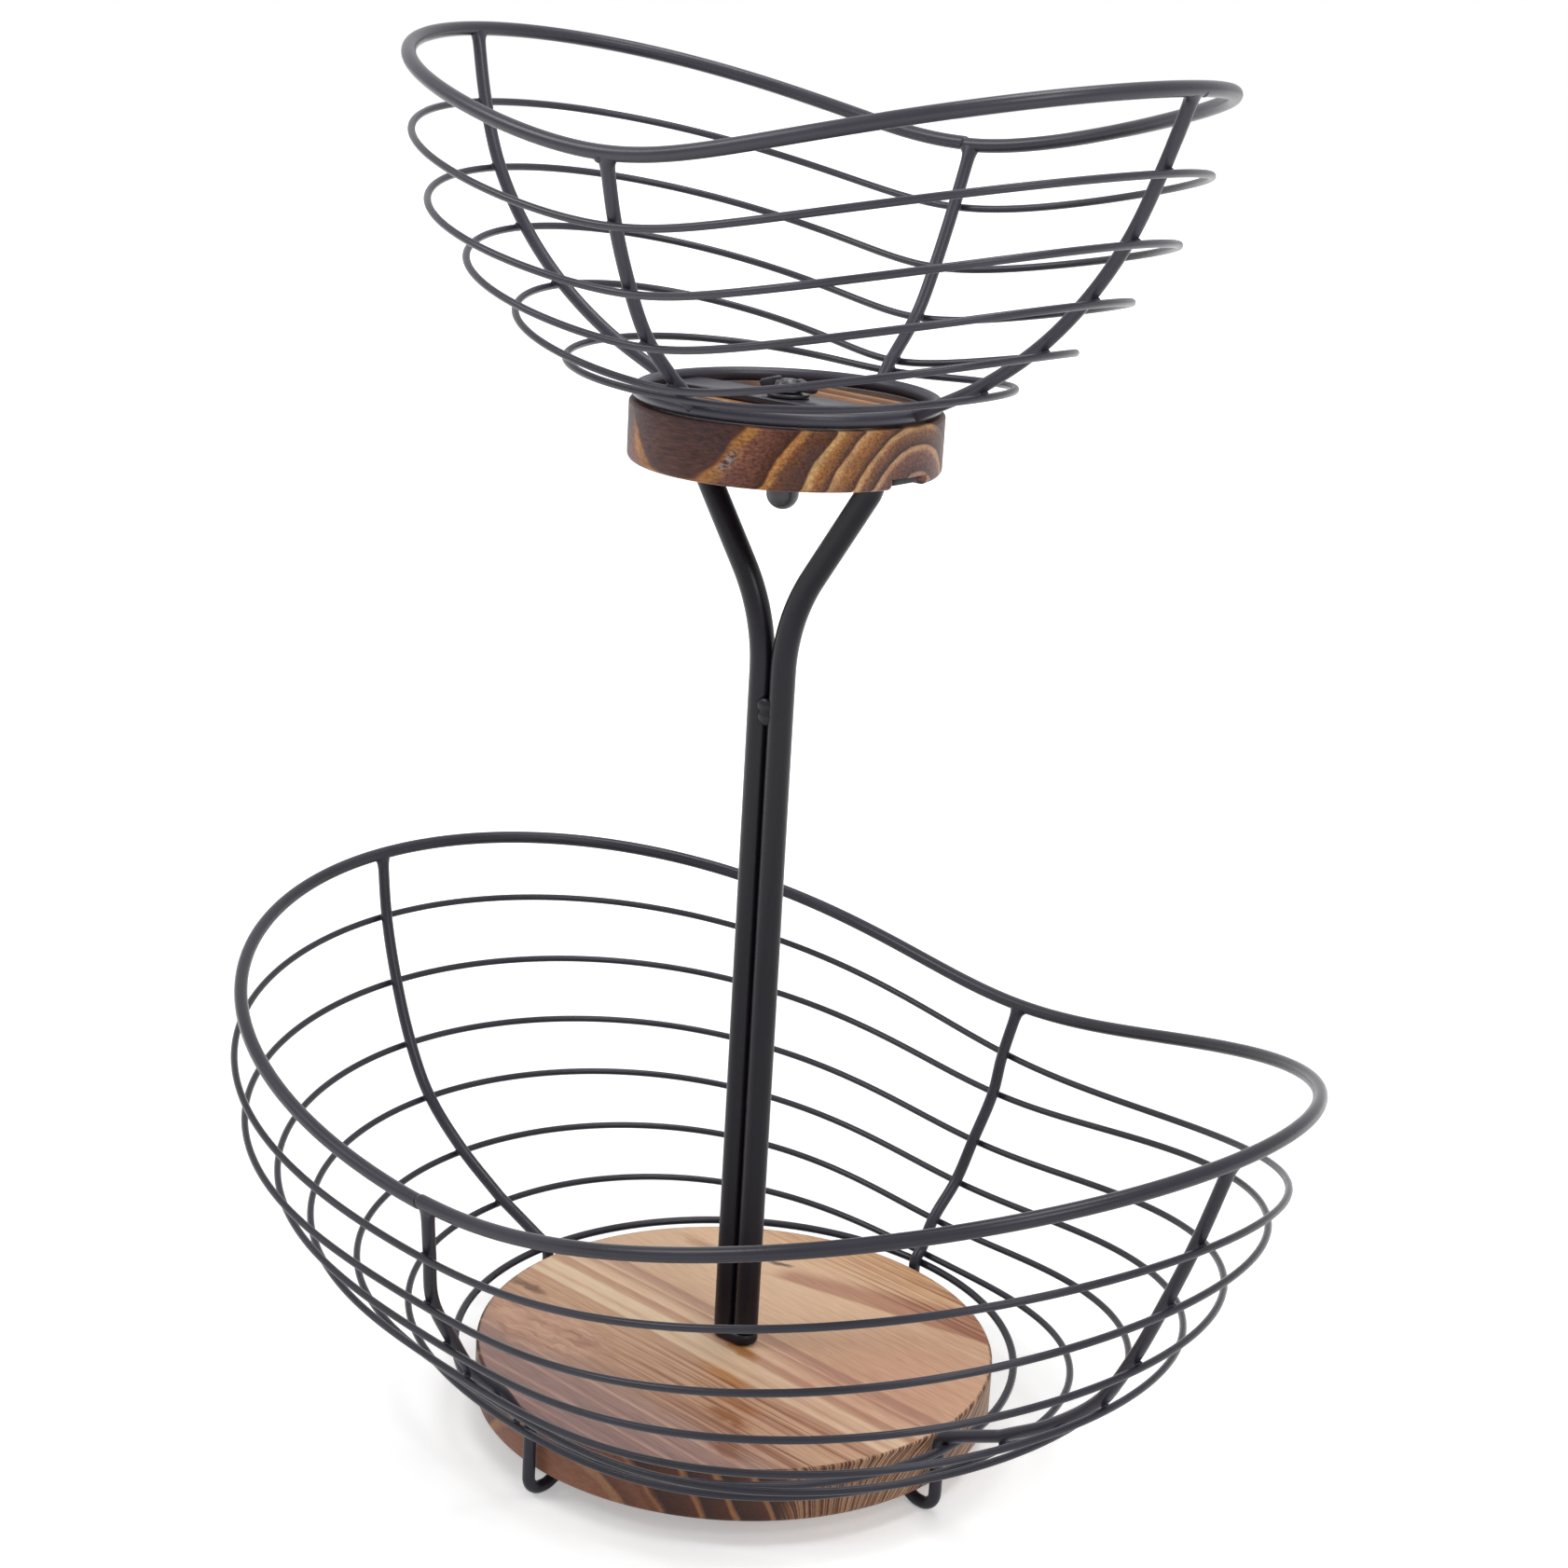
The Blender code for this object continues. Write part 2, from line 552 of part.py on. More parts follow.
def main():
    clear_scene()
    lower = Bowl(LOWER_RIM_LONG, LOWER_RIM_SHORT, LOWER_END_RISE, LOWER_FLANK_RISE,
                 LOWER_BASE_RADIUS, LOWER_BASE_HEIGHT)
    lower.set_shares(LOWER_LONG_SHARES, LOWER_SHORT_SHARES, LOWER_END_RISE_SHARES,
                     LOWER_FLANK_RISE_SHARES, LOWER_FULLNESS_SHARES)
    lower.lean = (LOWER_LEAN_X, LOWER_LEAN_Y)
    lower.sway = (LOWER_SWAY_X, LOWER_SWAY_Y)
    lower.rib_tops = LOWER_RIB_TOPS
    lower.rib_feet = LOWER_RIB_FEET
    lower.sagging_ring = 1
    upper = Bowl(UPPER_RIM_LONG, UPPER_RIM_SHORT, UPPER_END_RISE, UPPER_FLANK_RISE,
                 UPPER_BASE_RADIUS, UPPER_BASE_HEIGHT)
    upper.set_shares(UPPER_LONG_SHARES, UPPER_SHORT_SHARES, UPPER_END_RISE_SHARES,
                     UPPER_FLANK_RISE_SHARES, UPPER_FULLNESS_SHARES)
    upper.sway = (UPPER_SWAY_X, UPPER_SWAY_Y)
    upper.rib_tops = UPPER_RIB_TOPS
    upper.rib_feet = UPPER_RIB_FEET
    upper.turn = UPPER_TURN

    make_lower_board()
    make_bowl("lower", lower, LOWER_RING_POINTS, LOWER_BASE_WIRE)
    make_lower_ribs(lower)
    make_hub()
    make_pole()
    make_upper_board()
    make_bowl("upper", upper, UPPER_RING_POINTS, UPPER_BASE_WIRE)
    make_upper_ribs(upper)
    make_strap()
    make_tie()
    make_wing_nut()


main()
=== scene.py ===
from functools import partial
from math import cos, pi, radians, sin, tan

import bmesh
import bpy
import numpy as np
from mathutils import Matrix, Vector


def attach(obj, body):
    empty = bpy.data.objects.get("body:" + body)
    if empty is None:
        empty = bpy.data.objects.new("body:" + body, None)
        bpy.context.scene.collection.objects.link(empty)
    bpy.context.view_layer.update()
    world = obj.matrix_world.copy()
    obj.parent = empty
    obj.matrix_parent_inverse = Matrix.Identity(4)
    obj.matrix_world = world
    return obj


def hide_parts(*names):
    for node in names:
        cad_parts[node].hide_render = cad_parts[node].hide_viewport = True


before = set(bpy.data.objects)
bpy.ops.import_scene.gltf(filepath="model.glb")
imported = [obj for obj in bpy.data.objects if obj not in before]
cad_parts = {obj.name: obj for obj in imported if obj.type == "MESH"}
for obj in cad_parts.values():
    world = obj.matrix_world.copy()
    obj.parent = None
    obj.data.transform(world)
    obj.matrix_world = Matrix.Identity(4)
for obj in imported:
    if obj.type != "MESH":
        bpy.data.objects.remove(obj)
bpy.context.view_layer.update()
print("frame loaded")


# shared tools: lengths are metres, and angles in the dictionaries are degrees

meshing = dict(mergeWithin=1e-6, sharpFrom=50, loopSteps=2880, ribStep=0.0010, rodStep=0.0015)


def unit(rows):
    # every row divided by its own length
    return rows / np.linalg.norm(rows, axis=-1, keepdims=True)


def fullTurn(count):
    # equal steps once round, the last one left open
    return np.linspace(0, 2 * pi, count, endpoint=False)


def surfaceMesh(name, grids, closeRows):
    # grids of points, (piece, row, column, xyz): neighbours in row and column make one four-sided face;
    # columns always close round to the first, rows only where asked
    grids = np.asarray(grids, float)
    if grids.ndim == 3:
        grids = grids[None]
    count, rows, columns = grids.shape[:3]
    row = np.arange(rows if closeRows else rows - 1)[:, None]
    column = np.arange(columns)[None, :]
    nextRow, nextColumn = (row + 1) % rows, (column + 1) % columns
    corners = [row * columns + column, nextRow * columns + column,
               nextRow * columns + nextColumn, row * columns + nextColumn]
    quads = np.stack(corners, axis=-1).reshape(-1, 4)
    quads = (quads[None] + (np.arange(count) * rows * columns)[:, None, None]).reshape(-1, 4)
    mesh = bpy.data.meshes.new(name)
    mesh.vertices.add(count * rows * columns)
    mesh.vertices.foreach_set("co", grids.ravel())
    mesh.loops.add(quads.size)
    mesh.loops.foreach_set("vertex_index", quads.ravel())
    mesh.polygons.add(len(quads))
    mesh.polygons.foreach_set("loop_start", np.arange(len(quads)) * 4)
    mesh.update(calc_edges=True)
    work = bmesh.new()
    work.from_mesh(mesh)
    bmesh.ops.remove_doubles(work, verts=work.verts, dist=meshing["mergeWithin"])  # poles close here
    bmesh.ops.recalc_face_normals(work, faces=work.faces)
    work.to_mesh(mesh)
    work.free()
    mesh.shade_smooth()
    mesh.set_sharp_from_angle(angle=radians(meshing["sharpFrom"]))
    piece = bpy.data.objects.new(name, mesh)
    bpy.context.scene.collection.objects.link(piece)
    return piece


def addPiece(name, grids, closeRows, material, slotName, *nodeNames, bodyName="basket"):
    # a finished piece: its material, the body that it rides on, the nodes that it stands for; slotName is
    # not used
    piece = surfaceMesh(name, grids, closeRows)
    piece.data.materials.append(material)
    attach(piece, bodyName)
    if nodeNames:
        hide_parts(*nodeNames)


def tubeGrid(path, side, radius, sides, closed=False, endRound=0.0, flare=1.0):
    # circle of the given radius carried square to the path; side is a direction never along the path
    # flare widens the circle towards side alone, into an ellipse
    path = np.asarray(path, float)
    side = np.broadcast_to(np.asarray(side, float), path.shape)
    radius = np.broadcast_to(np.asarray(radius, float), len(path))
    flare = np.broadcast_to(np.asarray(flare, float), len(path))
    if closed:
        tangent = unit(np.roll(path, -1, axis=0) - np.roll(path, 1, axis=0))
    else:
        tangent = unit(np.gradient(path, axis=0))
    if endRound:  # the radius runs out over endRound along a quarter ellipse at both ends
        steps = 5
        turn = np.linspace(0, pi / 2, steps + 1)[1:]
        reach = endRound * np.sin(turn)[:, None]
        path = np.concatenate([(path[0] - reach * tangent[0])[::-1], path, path[-1] + reach * tangent[-1]])
        radius = np.concatenate([(radius[0] * np.cos(turn))[::-1], radius, radius[-1] * np.cos(turn)])
        tangent, side = (np.pad(rows, ((steps, steps), (0, 0)), "edge") for rows in (tangent, side))
        flare = np.pad(flare, steps, "edge")
    across = unit(side - (side * tangent).sum(1, keepdims=True) * tangent)
    over = np.cross(tangent, across)
    around = fullTurn(sides)
    across = across * flare[:, None]
    ring = across[:, None] * np.cos(around)[None, :, None] + over[:, None] * np.sin(around)[None, :, None]
    return path[:, None] + radius[:, None, None] * ring


def plateGrid(outline, hole, low, high, rounding):
    # outline round the plate, pulled in by the edge rounding at top and bottom, and closed through the hole
    outward = unit(outline)
    turn = np.linspace(0, pi / 2, 5)
    inset, drop = rounding * (1 - np.cos(turn)), rounding * (1 - np.sin(turn))
    pulls, levels = np.concatenate([inset[::-1], inset]), np.concatenate([low + drop[::-1], high - drop])
    rows = [np.column_stack([outline - outward * pull, np.full(len(outline), level)])
            for pull, level in zip(pulls, levels)]
    rows += [np.column_stack([outward * hole, np.full(len(outline), level)]) for level in (high, low)]
    return np.array(rows)


def turnedGrid(profile, sides):
    # (radius, height) pairs turned about the pole axis
    radius, height = np.asarray(profile, float).T[:, :, None]
    turn = fullTurn(sides)
    return np.stack(np.broadcast_arrays(radius * np.cos(turn), radius * np.sin(turn), height), axis=-1)


def turnAboutPole(points, angle):
    # plan turn of any array of points
    spin = np.array([[cos(angle), -sin(angle), 0], [sin(angle), cos(angle), 0], [0, 0, 1]])
    return np.asarray(points) @ spin.T


def ballGrids(beads, rows, columns):
    # rows of centre and three half axes: the unit ball's coordinates times the half axes, from the centre
    polar, turn = np.linspace(0, pi, rows)[:, None], fullTurn(columns)[None]
    ball = np.stack(np.broadcast_arrays(np.sin(polar) * np.cos(turn), np.sin(polar) * np.sin(turn),
                                        np.cos(polar)), axis=-1)
    return beads[:, 0][:, None, None] + np.einsum("ijk,bkx->bijx", ball, beads[:, 1:])


def roundedPath(corners, radii, steps):
    # straight runs joined by arcs, an arc's points turning evenly from one run to the next
    corners = np.asarray(corners, float)
    path = [corners[:1]]
    for before, corner, after, radius in zip(corners, corners[1:], corners[2:], radii):
        back, ahead = unit(before - corner), unit(after - corner)
        half = np.arccos(np.clip(back @ ahead, -1, 1)) / 2
        centre = corner + unit(back + ahead) * radius / sin(half)
        first = corner + back * radius / tan(half) - centre
        last = corner + ahead * radius / tan(half) - centre
        sweep = pi - 2 * half
        share = np.linspace(0, 1, steps)[:, None]
        arc = first * np.sin((1 - share) * sweep) + last * np.sin(share * sweep)
        path.append(centre + arc / sin(sweep))
    return np.concatenate(path + [corners[-1:]])


def smoothPath(knots, steps):
    # one Bezier span between each two knots, its handles a third of the span along the neighbours' chord
    knots = np.asarray(knots, float)
    places = np.arange(len(knots))
    tangent = unit(knots[np.minimum(places + 1, len(knots) - 1)] - knots[np.maximum(places - 1, 0)])
    start, end = knots[:-1], knots[1:]
    third = np.linalg.norm(end - start, axis=1, keepdims=True) / 3
    first, second = start + tangent[:-1] * third, end - tangent[1:] * third
    share = np.linspace(0, 1, steps, endpoint=False)[None, :, None]
    curve = ((1 - share) ** 3 * start[:, None] + 3 * (1 - share) ** 2 * share * first[:, None]
             + 3 * (1 - share) * share ** 2 * second[:, None] + share ** 3 * end[:, None])
    return np.concatenate([curve.reshape(-1, 3), knots[-1:]])


def walked(path):
    # distance from the path's start to each of its points
    return np.concatenate([[0], np.cumsum(np.linalg.norm(np.diff(path, axis=0), axis=1))])


def pointsAt(path, distances):
    # the path's points at those distances from its start, straight between its own points
    length = walked(path)
    return np.stack([np.interp(distances, length, path[:, axis]) for axis in range(3)], axis=-1)


def evenPath(path, spacing):
    # the same line walked in equal steps
    length = walked(path)[-1]
    return pointsAt(path, np.linspace(0, length, max(int(length / spacing), 2) + 1))


# materials

def linearColour(hexText):
    # sRGB hex to linear RGBA: below 0.04045 divided by 12.92, above it the 2.4 power law
    shades = np.array([int(hexText[place:place + 2], 16) for place in (1, 3, 5)]) / 255
    linear = np.where(shades <= 0.04045, shades / 12.92, ((shades + 0.055) / 1.055) ** 2.4)
    return (*linear.tolist(), 1.0)


def feed(node, inputs):
    # inputs by name or number, or a row in socket order: values are set, nodes and sockets are linked
    for key, value in inputs.items() if isinstance(inputs, dict) else enumerate(inputs):
        if isinstance(value, bpy.types.Node):
            value = next(socket for socket in value.outputs if socket.enabled)
        if isinstance(value, bpy.types.NodeSocket):
            node.id_data.links.new(value, node.inputs[key])
        else:
            node.inputs[key].default_value = value


def addNode(tree, kind, inputs=(), stops=(), **settings):
    # one shader node with its settings and inputs; an operation may follow the kind after a space,
    # and stops are the places and shades of a colour ramp
    kind, _, operation = kind.partition(" ")
    node = tree.nodes.new("ShaderNode" + kind)
    if operation:
        node.operation = operation
    ramp = node.color_ramp.elements if stops else ()
    while len(ramp) < len(stops):
        ramp.new(1.0)
    for stop, (place, shade) in zip(ramp, stops):
        stop.position = place
        stop.color = linearColour(shade) if isinstance(shade, str) else (shade, shade, shade, 1.0)
    for key, value in settings.items():
        setattr(node, key, value)
    feed(node, inputs)
    return node


def newMaterial(name):
    # a material, its shader, addNode bound to its node tree, and the object's own coordinates
    material = bpy.data.materials.new(name)
    material.use_nodes = True
    add = partial(addNode, material.node_tree)
    return material, material.node_tree.nodes["Principled BSDF"], add, add("TexCoord").outputs["Object"]


# settings that many nodes share; a map range takes the value, from min, from max, to min, to max
smooth = dict(interpolation_type="SMOOTHSTEP")
placed = dict(vector_type="TEXTURE")
blend = dict(data_type="RGBA")
tinted = dict(data_type="RGBA", blend_type="MULTIPLY")


def joinSteps(add, operation, sources, ranges):
    # a smooth step over each source, joined one after the other by the operation
    joined = None
    for source, span in zip(sources, ranges):
        step = add("MapRange", (source, *span), **smooth)
        joined = add("Math " + operation, (joined, step)) if joined else step
    return joined


powderCoatLook = dict(
    body="#282730", pale="#302f39", roughness=0.30, swing=0.05, specular=0.28,
    cloud=0.03, orangePeel=0.0022, grit=0.00035, gritShare=0.25, bump=0.00003,
)


def powderCoat(name, **changes):
    # satin polyester powder coat on steel wire: near black with a cool cast, a fine grain
    # and a soft broad highlight
    look = dict(powderCoatLook, **changes)
    material, shader, add, place = newMaterial(name)
    cloud = add("TexNoise", {"Vector": place, "Scale": 1 / look["cloud"], "Detail": 3.0})
    shade = add("ValToRGB", (cloud,), [(0.35, look["body"]), (0.7, look["pale"])])
    peel = add("TexNoise", {"Vector": place, "Scale": 1 / look["orangePeel"], "Detail": 2.0})
    grit = add("TexNoise", {"Vector": place, "Scale": 1 / look["grit"], "Detail": 1.0})
    relief = add("Math MULTIPLY_ADD", (grit, look["gritShare"], peel))
    bump = add("Bump", {"Height": relief, "Distance": look["bump"], "Strength": 1.0})
    smoothest, roughest = look["roughness"] - look["swing"], look["roughness"] + look["swing"]
    rough = add("MapRange", (cloud, 0.3, 0.7, smoothest, roughest))
    feed(shader, {"Base Color": shade, "Roughness": rough, "Normal": bump,
                  "Specular IOR Level": look["specular"]})
    return material


wireCoat = powderCoat("blackPowderCoat")
# the upper bowl's coat is the same powder coat made lighter and glossier: painted light for the stronger
# light from above on the upper bowl
upperCoatLitCopy = powderCoat("blackPowderCoatUpperLit", body="#312f39", pale="#393742",
                       roughness=0.33, specular=0.36)
print("materials made")


# wire bowls

lowerBowl = dict(
    halfLong=0.1903, halfShort=0.13055, endRise=0.1260, flankRise=0.0878,
    baseRadius=0.0919, baseHeight=0.0247, turn=0,
    lean=(0.0069, 0.0014), sway=(-0.0008, -0.0026),
    # one number for each ring, from the rim down to the base ring
    long=(1, 0.956, 0.856, 0.748, 0.628, 0.441, 0.227, 0),
    short=(1, 1.006, 0.936, 0.727, 0.525, 0.235, 0.062, 0),
    end=(1, 0.808, 0.623, 0.45, 0.307, 0.181, 0.078, 0),
    flank=(1, 0.815, 0.625, 0.44, 0.284, 0.153, 0.03, 0),
    fullness=(0.015, 0.031, 0.043, 0.034, 0.03, 0.031, 0.02, 0),
    sagRing=1, sagIn=0.0039, sagDown=0.0097, sagAngle=46, sagSpread=38,
    rimWire=0.0044, ringWire=0.0023, ribWire=0.0040, baseWire=0.0026, coat=wireCoat,
    ribTops=(0.5, 91, 183, 272.5), ribFeet=(4, 92.5, 186, 272.5),
    rimJoint=271.0, flareLean=(0.0004, -0.0003, 0.0005, 0.0002),
    # beads beside the rib tops: rib, distance along the rim, upwards, outwards, half width
    topBeads=((1, 0.0026, -0.0010, -0.0006, 0.0014), (3, -0.0030, -0.0013, 0.0004, 0.0011)),
)
upperBowl = dict(
    lowerBowl,
    halfLong=0.1302, halfShort=0.0841, endRise=0.0988, flankRise=0.0726,
    baseRadius=0.0445, baseHeight=0.3376, turn=8.4,
    lean=(0, 0), sway=(-0.0007, -0.0012),
    long=(1, 0.951, 0.848, 0.709, 0.525, 0.292, 0),
    short=(1, 0.944, 0.759, 0.554, 0.26, 0.176, 0),
    end=(1, 0.774, 0.576, 0.40, 0.235, 0.089, 0),
    flank=(1, 0.732, 0.477, 0.266, 0.09, 0.05, 0),
    fullness=(0.001, 0.016, 0.044, 0.032, 0.028, 0.029, 0),
    # the upper bowl takes the lighter copy of the coat, with light from above painted into it
    sagRing=None, baseWire=0.0044, coat=upperCoatLitCopy,
    ribTops=(0, 89, 181.5, 269.5), ribFeet=(3, 89, 186, 271),
    rimJoint=90.7, flareLean=(-0.0004, 0.0003, -0.0002, 0.0003),
    topBeads=((0, 0.0034, -0.0008, 0.0006, 0.0015), (3, -0.0026, -0.0016, 0.0006, 0.0014),
              (1, 0.0022, -0.0014, -0.0004, 0.0011)),
)
weld = dict(
    gap=0.0003, flareWidth=0.0026, flareFrom=0.0010, flareFade=0.0013, ribEnd=0.0008,
    jointStep=0.00022, jointNotch=0.00028, jointWidth=0.00045,
    along=0.0013, across=0.0012, deep=0.0010, beadStretch=1.3,
)
ribFoot = dict(
    boardLift=0.0077, dropRadius=0.0883, elbowRise=0.0022, flat=0.0075, ramp=0.0070, bend=0.0050,
    hubRadius=0.0220,
)


def heightShare(bowl, ring):
    # how far up the bowl a ring lies, from 0 at the base ring to 1 at the rim
    return (bowl["end"][ring] + bowl["flank"][ring]) / 2


def bowlPoint(bowl, ring, angle):
    # radius and height swing twice in a turn, long and high at the ends, and a fourth-order term
    # makes the bowl fuller between ends and sides
    base, height = bowl["baseRadius"], heightShare(bowl, ring)
    longHalf = base + (bowl["halfLong"] - base) * bowl["long"][ring]
    shortHalf = base + (bowl["halfShort"] - base) * bowl["short"][ring]
    atEnd = np.cos(angle) ** 2
    radius = longHalf * atEnd + shortHalf * (1 - atEnd)
    radius = radius + bowl["halfLong"] * bowl["fullness"][ring] * np.sin(2 * angle) ** 2
    endRise, flankRise = bowl["endRise"] * bowl["end"][ring], bowl["flankRise"] * bowl["flank"][ring]
    rise = endRise * atEnd + flankRise * (1 - atEnd)
    if ring == bowl["sagRing"]:  # one ring sags in and down, as a bell curve over the angle
        away = (angle - radians(bowl["sagAngle"]) + pi) % (2 * pi) - pi
        sag = np.exp(-(away / radians(bowl["sagSpread"])) ** 2)
        radius, rise = radius - bowl["sagIn"] * sag, rise - bowl["sagDown"] * sag
    x, y = radius * np.cos(angle), radius * np.sin(angle)
    lift = (bowl["lean"][0] * x / bowl["halfLong"] + bowl["lean"][1] * y / bowl["halfShort"]) * height
    offCentre = 4 * height * (1 - height)
    return np.stack([x + bowl["sway"][0] * offCentre, y + bowl["sway"][1] * offCentre,
                     bowl["baseHeight"] + rise + lift], axis=-1)


def ribAngle(bowl, rib, ring):
    # a rib's angle runs evenly with height from its foot to its top
    foot, top = bowl["ribFeet"][rib], bowl["ribTops"][rib]
    return radians(foot + (top - foot) * heightShare(bowl, ring))


def crossings(bowl, rib, end=None):
    # where a rib meets the rings, its direction there, and the way square to it into the bowl
    rings = range(len(bowl["long"]))
    places = np.array([bowlPoint(bowl, ring, ribAngle(bowl, rib, ring)) for ring in rings])
    if end is not None:
        places[-1] = end
    outward = unit(places[1:-1] * (1, 1, 0))
    along = unit(places[:-2] - places[2:])
    return places, along, unit(along * (outward * along).sum(1, keepdims=True) - outward)


def ribKnots(bowl, rib, end):
    # on the rim's own centre line, then inside each ring by half of both wires
    places, along, inward = crossings(bowl, rib, end)
    inside = (bowl["ribWire"] + bowl["ringWire"]) / 2 + weld["gap"]
    return np.concatenate([places[:1], places[1:-1] + inward * inside])


def ringLoop(bowl, ring):
    # a ring's centre line in equal turns, the last point on the first
    turn = np.linspace(0, 2 * pi, meshing["loopSteps"])
    return turn, turnAboutPole(bowlPoint(bowl, ring, turn), radians(bowl["turn"]))


def ringPath(bowl, ring, count):
    # even steps round the bowl
    loop = ringLoop(bowl, ring)[1]
    return pointsAt(loop, np.linspace(0, walked(loop)[-1], count, endpoint=False))


def rimPath(bowl, count):
    # even steps, finer at the butt weld, where the wire's two ends miss each other and leave a notch:
    # the height steps as a tanh that dies away, the radius dips as a bell curve
    turn, loop = ringLoop(bowl, 0)
    length = walked(loop)
    joint = np.interp(radians(bowl["rimJoint"]), turn, length)
    finer = joint + np.linspace(-4, 4, 33) * weld["jointWidth"]
    walk = np.sort(np.concatenate([np.linspace(0, length[-1], count, endpoint=False), finer]))
    path = pointsAt(loop, walk)
    away = (walk - joint) / weld["jointWidth"]
    path[:, 2] += weld["jointStep"] * np.tanh(2 * away) * np.exp(-(away / 40) ** 2)
    return path, bowl["rimWire"] / 2 - weld["jointNotch"] * np.exp(-(away * 1.6) ** 2)


def makeRings(bowl, prefix):
    # closed tubes: the rim, the thinner rings under it, the ring round the board
    last = len(bowl["long"]) - 1
    for ring in range(last + 1):
        if ring == 0:
            node, sides = "_rim", 24
            path, radius = rimPath(bowl, 640)
        elif ring == last:
            node, sides = "_base_ring", 20
            path, radius = ringPath(bowl, ring, 360), bowl["baseWire"] / 2
        else:
            node, sides = f"_ring_{ring}", 16
            path, radius = ringPath(bowl, ring, 480), bowl["ringWire"] / 2
        tube = tubeGrid(path, (0, 0, 1), radius, sides, closed=True)
        addPiece(f"{prefix}Wire{ring}", tube, True, bowl["coat"], "black_coat", prefix + node)
    print(prefix, "rings made")


def ribGrid(path, side, bowl, rib):
    # the wire's top is welded to the rim: towards it the wire widens along the rim as a dying exponential
    radius = bowl["ribWire"] / 2
    fade = np.exp(-np.maximum(walked(path) - weld["flareFrom"], 0) / weld["flareFade"])
    side = np.asarray(side, float)
    path = path + side * (bowl["flareLean"][rib] * fade)[:, None]
    flare = 1 + weld["flareWidth"] * fade / radius
    return tubeGrid(path, side, radius, 20, endRound=weld["ribEnd"], flare=flare)


def makeRibs(bowl, prefix, profile):
    # a smooth line down the bowl to the profile's first (radius, height); the others are the foot's corners
    for rib, name in enumerate(("right", "back", "left", "front")):
        angle = radians(bowl["ribFeet"][rib])
        lean = angle + radians(bowl["turn"])
        foot = np.array([(radius * cos(angle), radius * sin(angle), height) for radius, height in profile])
        knots = ribKnots(bowl, rib, foot[0])
        if len(foot) > 1:
            bends = roundedPath(np.concatenate([knots[-1:], foot]), [ribFoot["bend"]] * (len(foot) - 1), 14)
            line = np.concatenate([smoothPath(knots, 16)[:-1], bends])
        else:
            line = smoothPath(np.concatenate([knots, foot + unit(knots[-1] - foot) * weld["ribEnd"]]), 16)
        path = evenPath(turnAboutPole(line, radians(bowl["turn"])), meshing["ribStep"])
        tube = ribGrid(path, (-sin(lean), cos(lean), 0), bowl, rib)
        addPiece(f"{prefix}Rib_{name}", tube, False, bowl["coat"], "black_coat", f"{prefix}_rib_{name}")
    print(prefix, "ribs made")


def makeWelds(bowl, prefix):
    # a flattened bead at each crossing of a rib and a ring, its axes along the ring, along the rib
    # and through both, and the beads beside the rib tops
    beads = []
    for rib in range(4):
        places, along, inward = crossings(bowl, rib)
        tangent = np.cross(inward, along)
        beads.append(np.stack([places[1:-1] + inward * bowl["ringWire"] / 2, tangent * weld["along"],
                               along * weld["across"], inward * weld["deep"]], axis=1))
    for rib, beside, upward, outwards, half in bowl["topBeads"]:
        angle = radians(bowl["ribTops"][rib])
        outward, tangent = np.array([cos(angle), sin(angle), 0]), np.array([-sin(angle), cos(angle), 0])
        centre = bowlPoint(bowl, 0, angle + beside / bowl["halfLong"]) + outward * outwards + (0, 0, upward)
        axes = [tangent * half * weld["beadStretch"], (0, 0, half), outward * half]
        beads.append(np.stack([centre, *axes])[None])
    beads = turnAboutPole(np.concatenate(beads), radians(bowl["turn"]))
    addPiece(prefix + "Welds", ballGrids(beads, 9, 16), False, bowl["coat"], "black_coat")
    print(prefix, "welds made:", len(beads))


def footProfile(bowl):
    # down past the board's edge, in along the floor, up under the board and in to the hub plate
    low, drop = bowl["ribWire"] / 2, ribFoot["dropRadius"]
    under, inner = ribFoot["boardLift"] - weld["gap"] - low, drop - ribFoot["flat"]
    return ((drop, bowl["baseHeight"] + ribFoot["elbowRise"]), (drop, low), (inner, low),
            (inner - ribFoot["ramp"], under), (ribFoot["hubRadius"] + weld["gap"], under))


makeRings(lowerBowl, "lower")
makeRings(upperBowl, "upper")
makeRibs(lowerBowl, "lower", footProfile(lowerBowl))
makeRibs(upperBowl, "upper", ((upperBowl["baseRadius"], upperBowl["baseHeight"]),))
makeWelds(lowerBowl, "lower")
makeWelds(upperBowl, "upper")


# forked pole

pole = dict(
    turn=8.4, rod=0.0080, rodEnd=0.0001, gap=0.0003, spread=0.0333, lean=33,
    forkBend=0.0580, topBend=0.0080, topLength=0.0035,
    foot=0.0257, footHigh=0.0040, footLong=0.0081, footWide=0.0046,
    footBore=0.0033, footRound=0.0014,
    crossBar=0.3181, strap=0.3354, barHalf=0.0455, strapHalf=0.0412,
    barWidth=0.0160, barThick=0.0020, barCorner=0.0016, barBore=0.0028, barRound=0.0004,
    weldHalf=(0.0033, 0.0013, 0.0026),
    welds=((0.0006, -0.0029, 0.2386), (0.0002, -0.0030, 0.2422),
           (0.0, 0.0029, 0.2384), (0.0003, 0.0030, 0.2421)),
)


def stadium(halfLong, halfWide, count):
    # plan outline of two half circles joined by straight sides, walked in equal turns about its centre
    turn = fullTurn(count)
    straight = halfLong - halfWide
    alongSide = np.abs(np.tan(turn)) * straight >= halfWide
    reachSide = halfWide / np.maximum(np.abs(np.sin(turn)), 1e-9)
    run = straight * np.abs(np.cos(turn))
    reachEnd = run + np.sqrt(np.maximum(halfWide ** 2 - (straight * np.sin(turn)) ** 2, 0))
    reach = np.where(alongSide, reachSide, reachEnd)
    return np.column_stack([reach * np.cos(turn), reach * np.sin(turn)])


